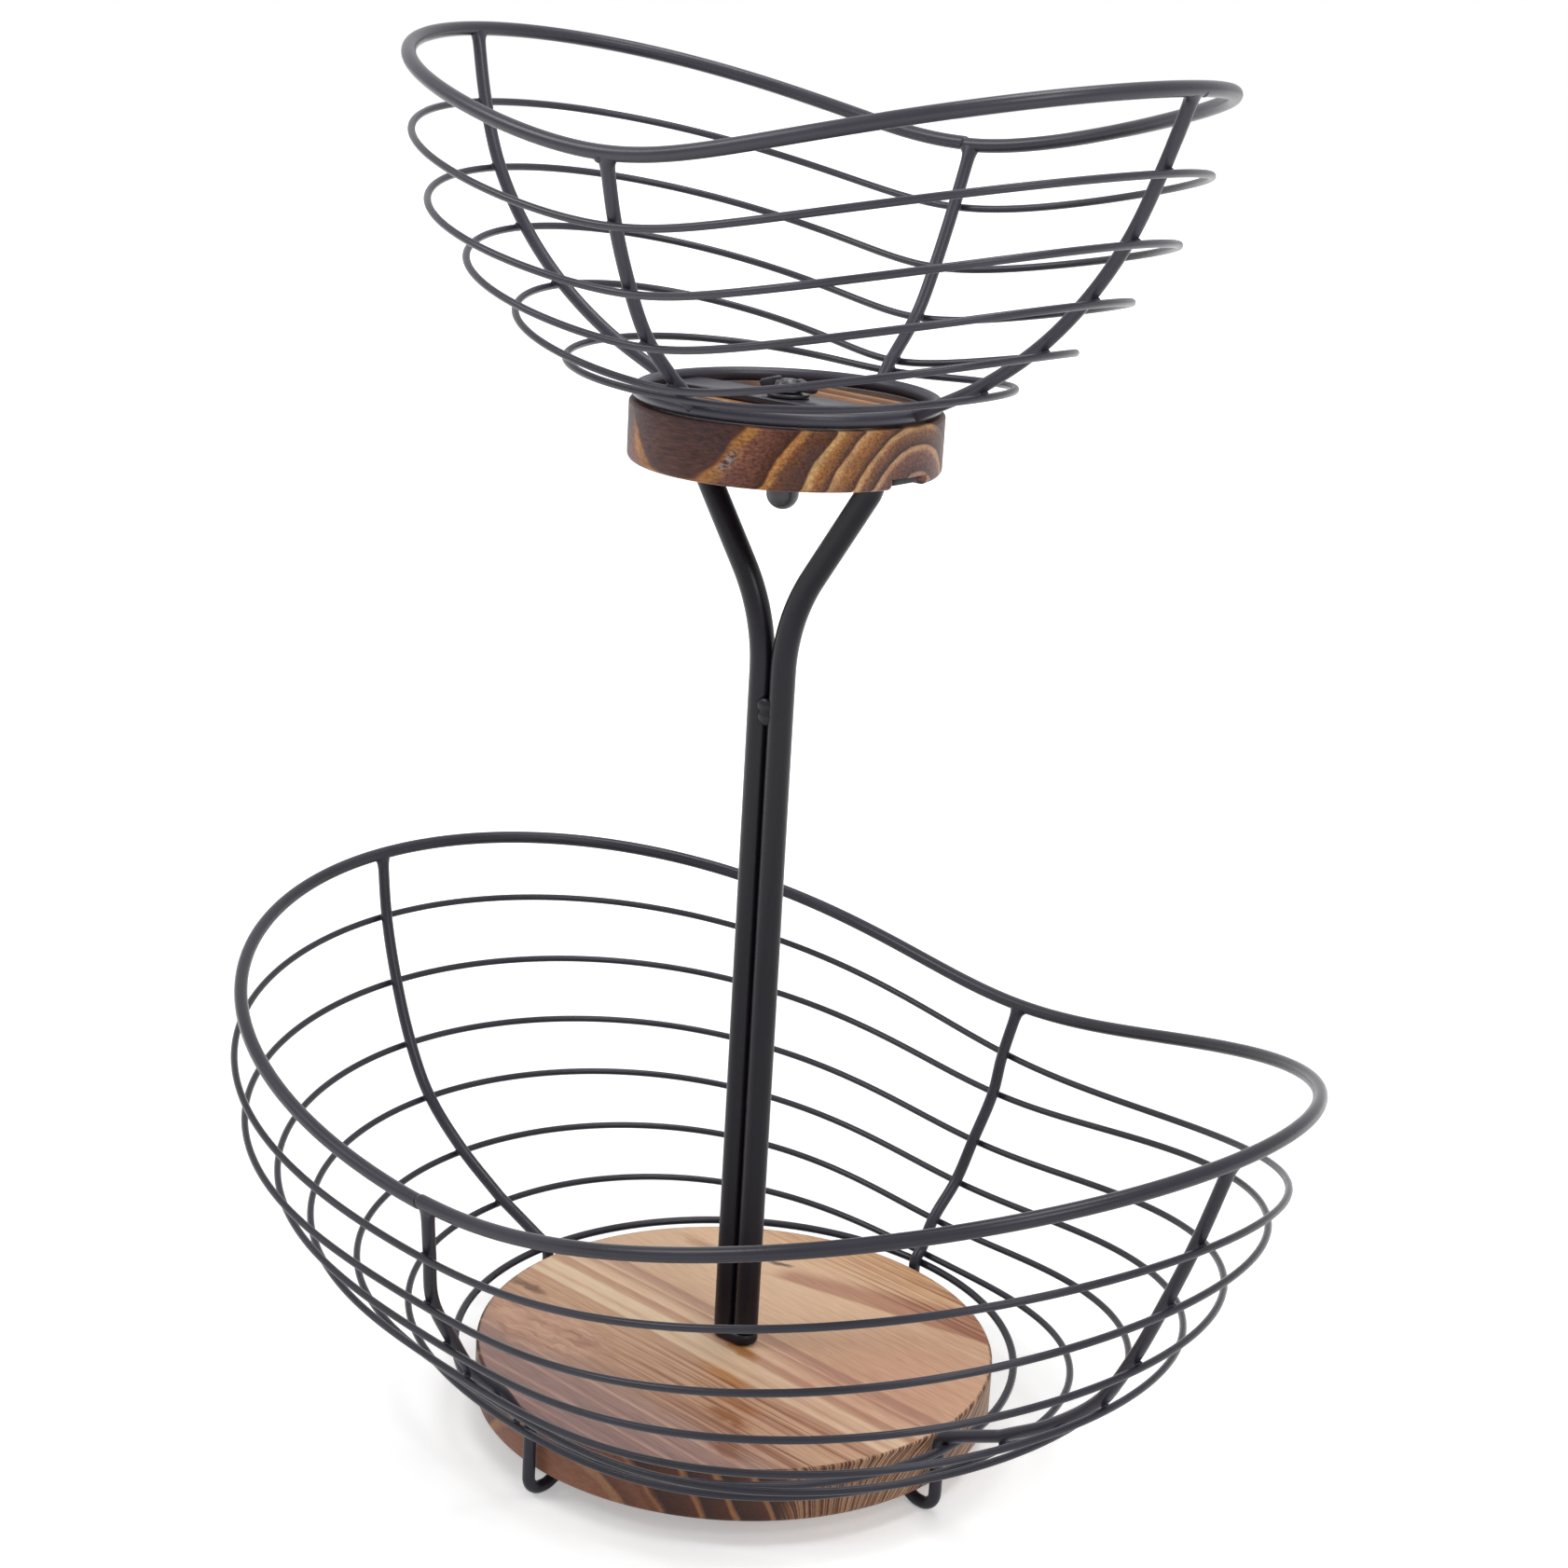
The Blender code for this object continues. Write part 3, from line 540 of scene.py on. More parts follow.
def roundedBar(halfLong, halfWide, corner, count):
    # plan outline of a bar: an ellipse of high power, set by the corner
    turn = fullTurn(count)
    power = 2 * halfWide / corner
    spread = np.arctan2(np.sin(turn) * halfWide, np.cos(turn) * halfLong)
    alongShare, acrossShare = np.abs(np.cos(spread) / halfLong), np.abs(np.sin(spread) / halfWide)
    reach = (alongShare ** power + acrossShare ** power) ** (-1 / power)
    return np.column_stack([reach * np.cos(spread), reach * np.sin(spread)])


def makePole():
    # two rods side by side that part into a fork, their foot, the bar on the fork, the strap on the board
    spin, beside, low = radians(pole["turn"]), (pole["rod"] + pole["gap"]) / 2, pole["foot"] + pole["gap"]
    kink, top = pole["crossBar"] - pole["topLength"], pole["crossBar"] - pole["gap"]
    fork = kink - (pole["spread"] - beside) / tan(radians(pole["lean"]))
    corners = [(beside, 0, low + pole["footHigh"] + pole["gap"]), (beside, 0, fork),
               (pole["spread"], 0, kink), (pole["spread"], 0, top)]
    path = evenPath(roundedPath(corners, [pole["forkBend"], pole["topBend"]], 40), meshing["rodStep"])
    for name, turn in (("right", spin), ("left", spin + pi)):
        rod = tubeGrid(turnAboutPole(path, turn), (-sin(turn), cos(turn), 0), pole["rod"] / 2, 32,
                       endRound=pole["rodEnd"])
        addPiece("poleRod_" + name, rod, False, rodCoat, "black_coat", "pole_rod_" + name)

    outline = stadium(pole["footLong"], pole["footWide"], 96)
    foot = plateGrid(outline, pole["footBore"], low, low + pole["footHigh"], pole["footRound"])
    addPiece("poleFoot", turnAboutPole(foot, spin), True, rodCoat, "black_coat", "pole_foot")

    for name, node, half, bottom, coat in (
            ("crossBar", "cross_bar", pole["barHalf"], pole["crossBar"], rodCoat),
            ("upperStrap", "upper_strap", pole["strapHalf"], pole["strap"], strapCoat)):
        outline = roundedBar(half, pole["barWidth"] / 2, pole["barCorner"], 400)
        bar = plateGrid(outline, pole["barBore"], bottom, bottom + pole["barThick"], pole["barRound"])
        addPiece(name, turnAboutPole(bar, spin), True, coat, "black_coat", node)
    print("forked pole made")


def makePoleWeld():
    # two flattened beads over each other in the groove between the rods, in front and behind
    wide, deep, high = pole["weldHalf"]
    beads = np.array([(centre, (wide, 0, 0), (0, 0, high), (0, deep, 0)) for centre in pole["welds"]])
    grids = ballGrids(turnAboutPole(beads, radians(pole["turn"])), 13, 24)
    addPiece("poleWelds", grids, False, rodCoat, "black_coat")


strapCoat = powderCoat("blackPowderCoatStrap", body="#34333b", pale="#3d3c45", specular=0.4)
rodCoat = powderCoat("blackPowderCoatRod", body="#16141b", pale="#1d1a23", specular=0.22)
makePole()
makePoleWeld()


# fasteners

fasteners = dict(
    stud=0.0025, studLow=0.3101, studHigh=0.3428, studTip=0.0006,
    pitch=0.0008, threadDepth=0.00045, bore=0.0028,
    domeNut=0.0050, domeLow=0.3033, domeHigh=0.3178, domeBore=0.3098,
    washer=0.0065, washerLow=0.3377, washerHigh=0.3387, washerRound=0.0003,
    nutLow=0.3390, nutTurn=12, nutEdge=0.0003,
    hub=0.0046, hubTop=0.0040, hubHigh=0.0034, hubRound=0.0004,
    wingSpan=0.0102, wingHigh=0.0043, wingShoulder=0.0052, wingLow=0.0004, wingRound=0.0012,
    wingThick=0.0026, wingRoot=0.0034, wingRootDrop=0.0013, wingOffMiddle=(0.0010, 0.0003),
    wingThinning=0.28,
    plate=0.0220, plateLow=0.0054, plateHigh=0.0074, plateBore=0.0033, plateRound=0.0004,
    zincDark="#4c4c50", zincPale="#626266", zincCloud=0.003, zincRough=(0.32, 0.46),
)


def circle(radius, count):
    # plan outline in equal turns
    turn = fullTurn(count)
    return np.column_stack([radius * np.cos(turn), radius * np.sin(turn)])


def studGrid(look):
    # threaded rod with a chamfered tip: its radius dips in a cosine that climbs one pitch in a turn
    height, turn = np.linspace(look["studLow"], look["studHigh"], 380)[:, None], fullTurn(32)[None]
    wave = 0.5 - 0.5 * np.cos(2 * pi * height / look["pitch"] - turn)
    radius = look["stud"] - look["threadDepth"] * wave
    radius = np.minimum(radius, look["stud"] - np.clip(height - look["studHigh"] + look["studTip"], 0, 1))
    grid = np.stack(np.broadcast_arrays(radius * np.cos(turn), radius * np.sin(turn), height), axis=-1)
    ends = np.zeros((1, 32, 3))
    return np.concatenate([ends + (0, 0, look["studLow"]), grid, ends + (0, 0, look["studHigh"])])


def wingGrid(look, side):
    # wing outline in its upright plane, drawn in towards its middle more and more towards both flat faces
    low, span, high, bend = look["wingLow"], look["wingSpan"], look["wingHigh"], look["wingRound"]
    tipTurn, shoulderTurn = np.linspace(-pi / 2, pi / 3, 14), np.linspace(pi / 3, pi * 3 / 4, 12)
    root, half = look["wingRoot"], look["wingThick"] / 2
    x = np.concatenate([[root], span - bend + bend * np.cos(tipTurn),
                        look["wingShoulder"] - bend + bend * np.cos(shoulderTurn), [root]])
    z = np.concatenate([[low], low + bend + bend * np.sin(tipTurn),
                        high - bend + bend * np.sin(shoulderTurn), [high - look["wingRootDrop"]]])
    offX, offZ = look["wingOffMiddle"]
    middleX, middleZ = (root + span) / 2 - offX, (low + high) / 2 - offZ
    turn = np.linspace(-pi / 2, pi / 2, 13)[:, None]
    scale = 1 - look["wingThinning"] * (1 - np.cos(turn)) ** 1.5
    x, z = middleX + (x - middleX) * scale, middleZ + (z - middleZ) * scale
    rows = np.stack(np.broadcast_arrays(x, half * np.sin(turn), z), axis=-1)
    close = np.zeros((1, rows.shape[1], 3)) + (middleX, 0, middleZ)
    rows = np.concatenate([close - (0, half, 0), rows, close + (0, half, 0)]) + (0, 0, look["nutLow"])
    return turnAboutPole(rows, radians(look["nutTurn"]) + side)


def platedSteel():
    # black zinc plate on steel: dark grey metal with faint cloudy patches and a low shine
    look = fasteners
    material, shader, add, place = newMaterial("blackZincSteel")
    cloud = add("TexNoise", {"Vector": place, "Scale": 1 / look["zincCloud"], "Detail": 4.0})
    shade = add("ValToRGB", (cloud,), [(0.3, look["zincDark"]), (0.7, look["zincPale"])])
    rough = add("MapRange", (cloud, 0.0, 1.0, *look["zincRough"]))
    feed(shader, {"Base Color": shade, "Roughness": rough, "Metallic": 1.0})
    return material


def makeFasteners():
    # dome nut, stud, washer and hub plate on the basket, and the wing nut's hub and wings on its own body
    look, steel = fasteners, platedSteel()
    nutCoat = powderCoat("blackNutPaint", body="#333339", pale="#403f46", roughness=0.3, specular=0.4)
    bore, dome, domeHigh = look["bore"], look["domeNut"], look["domeHigh"]
    profile = [(dome * sin(turn), look["domeLow"] + dome * (1 - cos(turn)))
               for turn in np.linspace(0, pi / 2, 10)]
    profile += [(dome, domeHigh), (bore, domeHigh), (bore, look["domeBore"]), (0, look["domeBore"])]
    addPiece("domeNut", turnedGrid(profile, 48), False, nutCoat, "black_coat", "dome_nut")
    addPiece("tieStud", studGrid(look), False, steel, "plated_steel", "tie_stud")
    washer = plateGrid(circle(look["washer"], 64), bore, look["washerLow"], look["washerHigh"],
                       look["washerRound"])
    addPiece("strapWasher", washer, True, nutCoat, "coated_nut", "strap_washer")
    plate = plateGrid(circle(look["plate"], 96), look["plateBore"], look["plateLow"], look["plateHigh"],
                      look["plateRound"])
    addPiece("hubPlate", plate, True, wireCoat, "black_coat", "hub_plate")

    low, edge, top = look["nutLow"], look["nutEdge"], look["hubRound"]
    high = low + look["hubHigh"]
    hub = [(bore, low), (look["hub"] - edge, low), (look["hub"], low + edge), (look["hubTop"], high - top),
           (look["hubTop"] - top, high), (bore + edge, high), (bore, high - edge)]
    addPiece("wingNutHub", turnedGrid(hub, 48), True, nutCoat, "coated_nut", "wing_nut", bodyName="wing_nut")
    wings = np.array([wingGrid(look, 0), wingGrid(look, pi)])
    addPiece("wingNutWings", wings, False, nutCoat, "coated_nut", bodyName="wing_nut")
    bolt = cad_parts["base_bolt"].data.materials
    bolt.clear()
    bolt.append(steel)
    print("fasteners made")


makeFasteners()


# wooden boards

lowerBoard = dict(
    radius=0.0850, thick=0.0180, bottom=0.0077, topRound=0.0010, bottomRound=0.0020, turn=0,
    groove=0, grooveHalf=0.0085, wall=1e-5, wallRows=(-0.0004, -1e-5, 0, 0.0003), wallClear=0.0006,
)
upperBoard = dict(lowerBoard, radius=0.0475, bottom=0.3171, groove=0.0033, turn=8.4)


def boardGrid(board):
    # cross sections of a round board side by side: each is as wide as the disc there, and as high
    # as its edges allow
    radius, bottom, high = board["radius"], board["bottom"], board["bottom"] + board["thick"]
    across, half = radius * np.sin(np.linspace(-pi / 2, pi / 2, 181)), board["grooveHalf"]
    if board["groove"]:  # close rows at the groove's walls, in place of those near them
        walls = half + np.array(board["wallRows"])
        far = np.abs(np.abs(across) - half) > board["wallClear"]
        across = np.sort(np.concatenate([across[far], walls, -walls]))
    turn = np.linspace(0, pi / 2, 7)
    lowRound, highRound = board["bottomRound"], board["topRound"]
    levelRadius = np.concatenate([radius - lowRound * (1 - np.sin(turn)),
                                  radius - highRound * (1 - np.cos(turn))])
    levelHeight = np.concatenate([bottom + lowRound * (1 - np.cos(turn)),
                                  high - highRound * (1 - np.sin(turn))])
    y = np.sign(across)[:, None] * np.minimum(np.abs(across)[:, None], levelRadius[None])
    x = np.sqrt(np.maximum(levelRadius[None] ** 2 - y ** 2, 0))
    z = np.broadcast_to(levelHeight, y.shape)
    if board["groove"]:
        carved = np.clip((half - np.abs(across)) / board["wall"], 0, 1)[:, None] * board["groove"]
        z = np.maximum(z, bottom + carved)
    right, left = np.stack([x, y, z], axis=-1), np.stack([-x, y, z], axis=-1)[:, ::-1]
    return turnAboutPole(np.concatenate([right, left], axis=1), radians(board["turn"]))


upperGrain = dict(
    pith=(0.0074, 0.3098), turn=3.4, reach=0.0600, lineWidth=0.0010, lineEdge=0.0004,
    roughness=0.48, specular=0.2, heart="#6f5c5a", outside="#4d322d",
    wander=0.014, wanderBy=0.0032, speckle=0.0007, raggedBy=0.0006, bump=0.0002,
    patches=0.011, soot="#41343a", sootTurn=46,
    # soot over the patches, along the pith, to both sides and upwards: from min, from max, to min, to max
    sootSpans=((0.48, 0.68, 0.0, 0.45), (0.036, 0.049, 0.0, 0.3), (0.0428, 0.0472, 0.0, 0.85),
               (0.0084, 0.0089, 0.0, 0.5)),
    # growth rings out from the pith: radius of the sharp outer edge, late-wood line, wood inside it,
    # burnt wood outside it
    rings=((0.0122, "#bd9078", "#6d5856", "#4f3c39"), (0.0199, "#dba97e", "#8d6252", "#3b2b2a"),
           (0.0263, "#dcaa75", "#9c6c4c", "#472a21"), (0.0330, "#e0ab74", "#bd8049", "#4f2e1f"),
           (0.0389, "#dcae74", "#b07642", "#4a2a1a"), (0.0466, "#bb824c", "#74482c", "#3d1d10"),
           (0.0545, "#b27840", "#7f5040", "#4a2c26")),
    pocket=(0.0189, -0.0512, 0.0150), pocketSize=(0.0045, 0.0010, 0.0046), pocketTurn=-21,
    resin=((0.42, "#3f3232"), (0.5, "#6e5c5a"), (0.6, "#a08e8a")), resinSpan=(0.35, 1.3, 0.95, 0.0),
)


def burntPine():
    # flame-burnt pine, brushed and oiled: pale late-wood lines, sharp on their outer side,
    # between dark burnt bands
    look = upperGrain
    material, shader, add, place = newMaterial("burntPine")
    turn, (aside, height) = radians(look["turn"]), look["pith"]
    pith = (-sin(turn) * aside, cos(turn) * aside, height)
    grain = add("Mapping", (place, pith, (0, 0, turn)), **placed)  # x along the pith
    fibre = add("VectorMath MULTIPLY", (grain, (0.10, 1, 1)))
    wander = add("TexNoise", {"Vector": fibre, "Scale": 1 / look["wander"], "Detail": 3.0})
    centred = add("VectorMath SUBTRACT", (wander.outputs["Color"], (0.5, 0.5, 0.5)))
    shifted = add("VectorMath MULTIPLY_ADD", (centred, (0, look["wanderBy"], look["wanderBy"]), grain))
    flat = add("VectorMath MULTIPLY", (shifted, (0, 1, 1)))
    distance = add("VectorMath LENGTH", (flat,))
    speckle = add("TexNoise", {"Vector": fibre, "Scale": 1 / look["speckle"], "Detail": 3.0,
                               "Roughness": 0.7})
    ragged = add("Math MULTIPLY_ADD", (speckle, look["raggedBy"], distance))
    share = add("Math DIVIDE", (ragged, look["reach"]))
    stops, width = [(0.0, look["heart"])], look["lineWidth"]
    for radius, line, inside, outside in look["rings"]:
        stops += [(spot / look["reach"], shade) for spot, shade in (
            (radius - 2 * width, inside), (radius - width * 0.8, line), (radius, line),
            (radius + look["lineEdge"], outside))]
    tone = add("ValToRGB", (share,), stops + [(1.0, look["outside"])])
    grey = add("ValToRGB", (speckle,), [(0.34, 0.06), (0.5, 0.5), (0.66, 0.94)])
    mottled = add("Mix", {0: 0.75, 6: tone, 7: grey}, data_type="RGBA", blend_type="SOFT_LIGHT")

    # soot in patches, at the pith's near end, on both sides and round the top edge: the strongest counts
    patches = add("TexNoise", {"Vector": fibre, "Scale": 1 / look["patches"], "Detail": 4.0})
    along = add("SeparateXYZ", (grain,)).outputs["X"]
    sideways = (cos(radians(look["sootTurn"])), sin(radians(look["sootTurn"])), 0)
    beside = add("VectorMath DOT_PRODUCT", (place, sideways))
    beside = add("Math ABSOLUTE", (beside,))
    axes = add("SeparateXYZ", (place,)).outputs
    middle = upperBoard["bottom"] + upperBoard["thick"] / 2
    rise = add("Math SUBTRACT", (axes["Z"], middle))
    beside = add("Math MULTIPLY_ADD", (rise, 0.25, beside))
    sooty = joinSteps(add, "MAXIMUM", (patches, along, beside, rise), look["sootSpans"])
    burnt = add("Mix", {0: sooty, 6: mottled, 7: linearColour(look["soot"])}, **blend)

    # pitch pocket: a lens of grey resin along one ring
    turned = (radians(look["pocketTurn"]), 0, 0)
    lens = add("Mapping", (shifted, look["pocket"], turned, look["pocketSize"]), **placed)
    away = add("VectorMath LENGTH", (lens,))
    resin = add("MapRange", (away, *look["resinSpan"]), **smooth)
    crust = add("ValToRGB", (speckle,), look["resin"])
    final = add("Mix", {0: resin, 6: burnt, 7: crust}, **blend)
    bump = add("Bump", {"Height": speckle, "Distance": look["bump"], "Strength": 0.7})
    feed(shader, {"Base Color": final, "Normal": bump, "Roughness": look["roughness"],
                  "Specular IOR Level": look["specular"]})
    return material


lowerGrain = dict(
    slope=-0.055, half=0.0930, wander=0.016, wanderBy=0.0064, fine=0.0016,
    zebra=0.0030, zebraRagged=0.0110, fibre=0.0006, bump=0.00012,
    roughness=0.5, specular=0.3,
    # places are millimetres from the middle, across the grain
    top=((-85, "#8b6f6b"), (-80, "#91746f"), (-79.7, "#b49283"), (-78.4, "#927571"), (-71.8, "#967871"),
         (-71.4, "#bb9787"), (-70, "#967973"), (-64.2, "#9a7b73"), (-63.8, "#c09b8a"),
         (-62.4, "#9b7c75"), (-56.2, "#a38377"), (-55.8, "#c8a28e"), (-54.2, "#a48477"),
         (-42, "#bd967b"), (-26, "#c9a384"), (-18.4, "#be9679"), (-17.6, "#e2c6a5"), (-15.2, "#dfc2a2"),
         (-14.2, "#cba589"), (-12.2, "#e0c4a4"), (-8.4, "#e3c8a8"), (-7.4, "#c6a083"), (-3.8, "#b88e73"),
         (-3, "#dfbe9f"), (1, "#d7b496"), (3.6, "#b99077"), (4.4, "#d8b498"), (6, "#c19a82"),
         (10, "#ae8872"), (10.6, "#d2ae8f"), (50, "#dab797"), (85, "#cba178")),
    side=((-90, "#a87a61"), (-86.6, "#9c6f57"), (-86.4, "#c59a75"), (-85.6, "#b98c69"), (-85, "#6f4a3b"),
          (-81.2, "#93664f"), (-80, "#6d4230"), (-79.7, "#b98a62"), (-78.9, "#a5744f"),
          (-78.3, "#3d2622"), (-71.8, "#663e2d"), (-71.5, "#bd8e66"), (-70.7, "#a97a55"),
          (-70.1, "#3b2724"), (-64.2, "#643c2b"), (-63.9, "#ba8c65"), (-63.1, "#a67751"),
          (-62.5, "#3d2825"), (-56.2, "#66402d"), (-55.9, "#bb8e68"), (-55.1, "#a57a56"),
          (-54.5, "#432c26"), (-50, "#5e3d29")),
    fineShare=((-85, 0.25), (-53, 0.30), (-46, 0.95), (-23, 0.85), (-17, 0.15), (10, 0.15), (57, 0.20),
               (63, 0.95), (85, 1.0)),
    # ramps over noise or over one stripe
    lines=((0.36, "#b3958a"), (0.47, "#dccac2"), (0.55, "#ffffff"), (0.66, "#fffaf4")),
    swirl=((0.34, "#9a7160"), (0.46, "#bb9079"), (0.55, "#cba389"), (0.68, "#aa8270")),
    stripe=((0.0, "#c9a384"), (0.34, "#ad8566"), (0.52, "#6b4430"), (0.9, "#5a3827"), (1.0, "#c9a384")),
    # soft ellipses that tint the top: middle, half length, half width, turn, tint, strength
    stains=(
        (0.008, -0.004, 0.010, 0.0036, -12, "#dcc08f", 0.95),
        (0.018, -0.020, 0.014, 0.0040, 2, "#f5dcb0", 0.95),
        (0.032, -0.029, 0.015, 0.0036, 3, "#f0dabb", 0.95),
        (0.038, -0.037, 0.014, 0.0034, 3, "#c4a17c", 0.95),
        (0.052, -0.050, 0.013, 0.0050, -8, "#c8a58c", 0.8),
        (-0.032, 0.049, 0.006, 0.0020, 20, "#6f5f66", 0.9),
        (-0.071, -0.032, 0.012, 0.0025, 5, "#7f7074", 0.8),
        (-0.052, 0.038, 0.024, 0.0035, 4, "#bfaaa3", 0.6),
        (0.052, 0.020, 0.050, 0.058, -20, "#ecdcdb", 0.95)),
    band=(-0.0260, 0.0406, 0.0), bandTurn=16.5, bandTint="#d3bdbb", scorch="#b08a78",
    knot=(-0.0430, -0.0450, 0.0), knotSize=(0.0300, 0.0170, 1.0), knotTurn=8,
    knotRagged=0.007, knotRaggedBy=(0.012, 0.006, 0),
    # smooth steps: begin, end, what they go from and to (else 0 to 1, or a stain's strength to 0)
    leanSpan=(-0.050, 0.020, -0.35, 2.2), fineSpan=(-0.045, 0.030, 0.35, 1.0),
    bandSpans=((-0.0008, 0.0012), (0.0040, 0.0120, 1.0, 0.0), (-0.004, 0.006)),
    knotSpan=(0.55, 1.05, 0.95, 0.0), stainSpan=(0.3, 1.2), zebraSpan=(-0.050, -0.044),
    scorchSpan=(-0.042, -0.016, 0.55, 0.0), sideSpan=(0.0837, 0.0845),
)


def torchedPine():
    # pine board lightly torched on top, burnt dark round its edge: cream and pink-brown stripes
    # along the grain
    look = lowerGrain
    material, shader, add, place = newMaterial("torchedPine")
    axes = add("SeparateXYZ", (place,)).outputs
    drawn = add("VectorMath MULTIPLY", (place, (0.10, 1, 0.4)))
    wander = add("TexNoise", {"Vector": drawn, "Scale": 1 / look["wander"], "Detail": 2.0})

    # phase across the grain: y, the stripes' slope, a slow wander, and the rings' lean below the top face
    sloped = add("Math MULTIPLY_ADD", (axes["X"], look["slope"], axes["Y"]))
    wavy = add("Math MULTIPLY_ADD", (wander, look["wanderBy"], sloped))
    top = lowerBoard["bottom"] + lowerBoard["thick"]
    depth = add("Math SUBTRACT", (top, axes["Z"]))
    lean = add("MapRange", (axes["Y"], *look["leanSpan"]), **smooth)
    phase = add("Math MULTIPLY_ADD", (lean, depth, wavy))
    middle, half = look["wanderBy"] / 2, look["half"]
    share = add("MapRange", (phase, middle - half, middle + half))

    def overGrain(rows):
        # millimetres from the middle as shares of the width
        return [(0.5 + spot / 1000 / (2 * half), shade) for spot, shade in rows]

    tone = add("ValToRGB", (share,), overGrain(look["top"]))
    fineShare = add("ValToRGB", (share,), overGrain(look["fineShare"]))
    line = add("CombineXYZ", {"Y": phase})
    line = add("VectorMath MULTIPLY_ADD", (place, (0.012, 0, 0), line))
    lines = add("TexNoise", {"Vector": line, "Scale": 1 / look["fine"], "Detail": 2.0, "Roughness": 0.6})
    rightward = add("MapRange", (axes["X"], *look["fineSpan"]), **smooth)
    fineShare = add("Math MULTIPLY", (fineShare, rightward))
    lineTone = add("ValToRGB", (lines,), look["lines"])
    tone = add("Mix", {0: fineShare, 6: tone, 7: lineTone}, **tinted)

    # cathedral band near the back, sharp along its lower edge
    band = add("Mapping", (place, look["band"], (0, 0, radians(look["bandTurn"]))), **placed)
    bandAxes = add("SeparateXYZ", (band,)).outputs
    rising = add("Math MULTIPLY_ADD", (bandAxes["X"], -0.12, bandAxes["Y"]))
    inBand = joinSteps(add, "MULTIPLY", (bandAxes["Y"], rising, bandAxes["X"]), look["bandSpans"])
    tone = add("Mix", {0: inBand, 6: tone, 7: linearColour(look["bandTint"])}, **tinted)

    # swirl of grain round a knot near the left
    ragged = add("TexNoise", {"Vector": place, "Scale": 1 / look["knotRagged"], "Detail": 4.0})
    ragged = add("VectorMath SUBTRACT", (ragged.outputs["Color"], (0.5, 0.5, 0.5)))
    torn = add("VectorMath MULTIPLY_ADD", (ragged, look["knotRaggedBy"], place))
    flat = add("VectorMath MULTIPLY", (torn, (1, 1, 0)))
    turned = (0, 0, radians(look["knotTurn"]))
    knot = add("Mapping", (flat, look["knot"], turned, look["knotSize"]), **placed)
    far = add("VectorMath LENGTH", (knot,))
    inKnot = add("MapRange", (far, *look["knotSpan"]), **smooth)
    rays = add("VectorMath MULTIPLY", (knot, (0.55, 1.5, 1)))
    swirl = add("TexNoise", {"Vector": rays, "Scale": 1.6, "Detail": 3.0, "Distortion": 0.9})
    swirlTone = add("ValToRGB", (swirl,), look["swirl"])
    tone = add("Mix", {0: inKnot, 6: tone, 7: swirlTone}, **blend)

    for x, y, halfLong, halfWide, turn, tint, strength in look["stains"]:
        size = (halfLong, halfWide, 1)
        spot = add("Mapping", (flat, (x, y, 0), (0, 0, radians(turn)), size), **placed)
        far = add("VectorMath LENGTH", (spot,))
        within = add("MapRange", (far, *look["stainSpan"], strength, 0.0), **smooth)
        tone = add("Mix", {0: within, 6: tone, 7: linearColour(tint)}, **tinted)

    # burnt side: the same rings, dark between pale lines in front, close end-grain stripes to the right
    sideTone = add("ValToRGB", (share,), overGrain(look["side"]))
    rough = add("Math MULTIPLY_ADD", (lines, look["zebraRagged"], phase))
    zebra = add("Math DIVIDE", (rough, look["zebra"]))
    zebra = add("Math FRACT", (zebra,))
    zebraTone = add("ValToRGB", (zebra,), look["stripe"])
    isZebra = add("MapRange", (sloped, *look["zebraSpan"]), **smooth)
    sideTone = add("Mix", {0: isZebra, 6: sideTone, 7: zebraTone}, **blend)
    scorch = add("MapRange", (sloped, *look["scorchSpan"]), **smooth)
    sideTone = add("Mix", {0: scorch, 6: sideTone, 7: linearColour(look["scorch"])}, **tinted)
    disc = add("VectorMath MULTIPLY", (place, (1, 1, 0)))
    disc = add("VectorMath LENGTH", (disc,))
    onSide = add("MapRange", (disc, *look["sideSpan"]), **smooth)
    tone = add("Mix", {0: onSide, 6: tone, 7: sideTone}, **blend)

    fibre = add("VectorMath MULTIPLY", (place, (0.06, 1, 1)))
    speckle = add("TexNoise", {"Vector": fibre, "Scale": 1 / look["fibre"], "Detail": 2.0})
    grey = add("ValToRGB", (speckle,), [(0.35, 0.34), (0.65, 0.66)])
    tone = add("Mix", {0: 0.5, 6: tone, 7: grey}, data_type="RGBA", blend_type="SOFT_LIGHT")
    bump = add("Bump", {"Height": speckle, "Distance": look["bump"], "Strength": 0.5})
    feed(shader, {"Base Color": tone, "Normal": bump, "Roughness": look["roughness"],
                  "Specular IOR Level": look["specular"]})
    return material


addPiece("lowerBoard", boardGrid(lowerBoard), False, torchedPine(), "torched_pine", "lower_board")
addPiece("upperBoard", boardGrid(upperBoard), False, burntPine(), "burnt_pine", "upper_board")
print("boards made")


# camera, floor and light

view = dict(
    place=(0.6128, -0.5774, 0.4639), turn=46.7, lens=64.76, sensor=36, near=0.01,
    yaw=0.0065, pitch=0.2854, roll=0.058,  # these three are radians
)


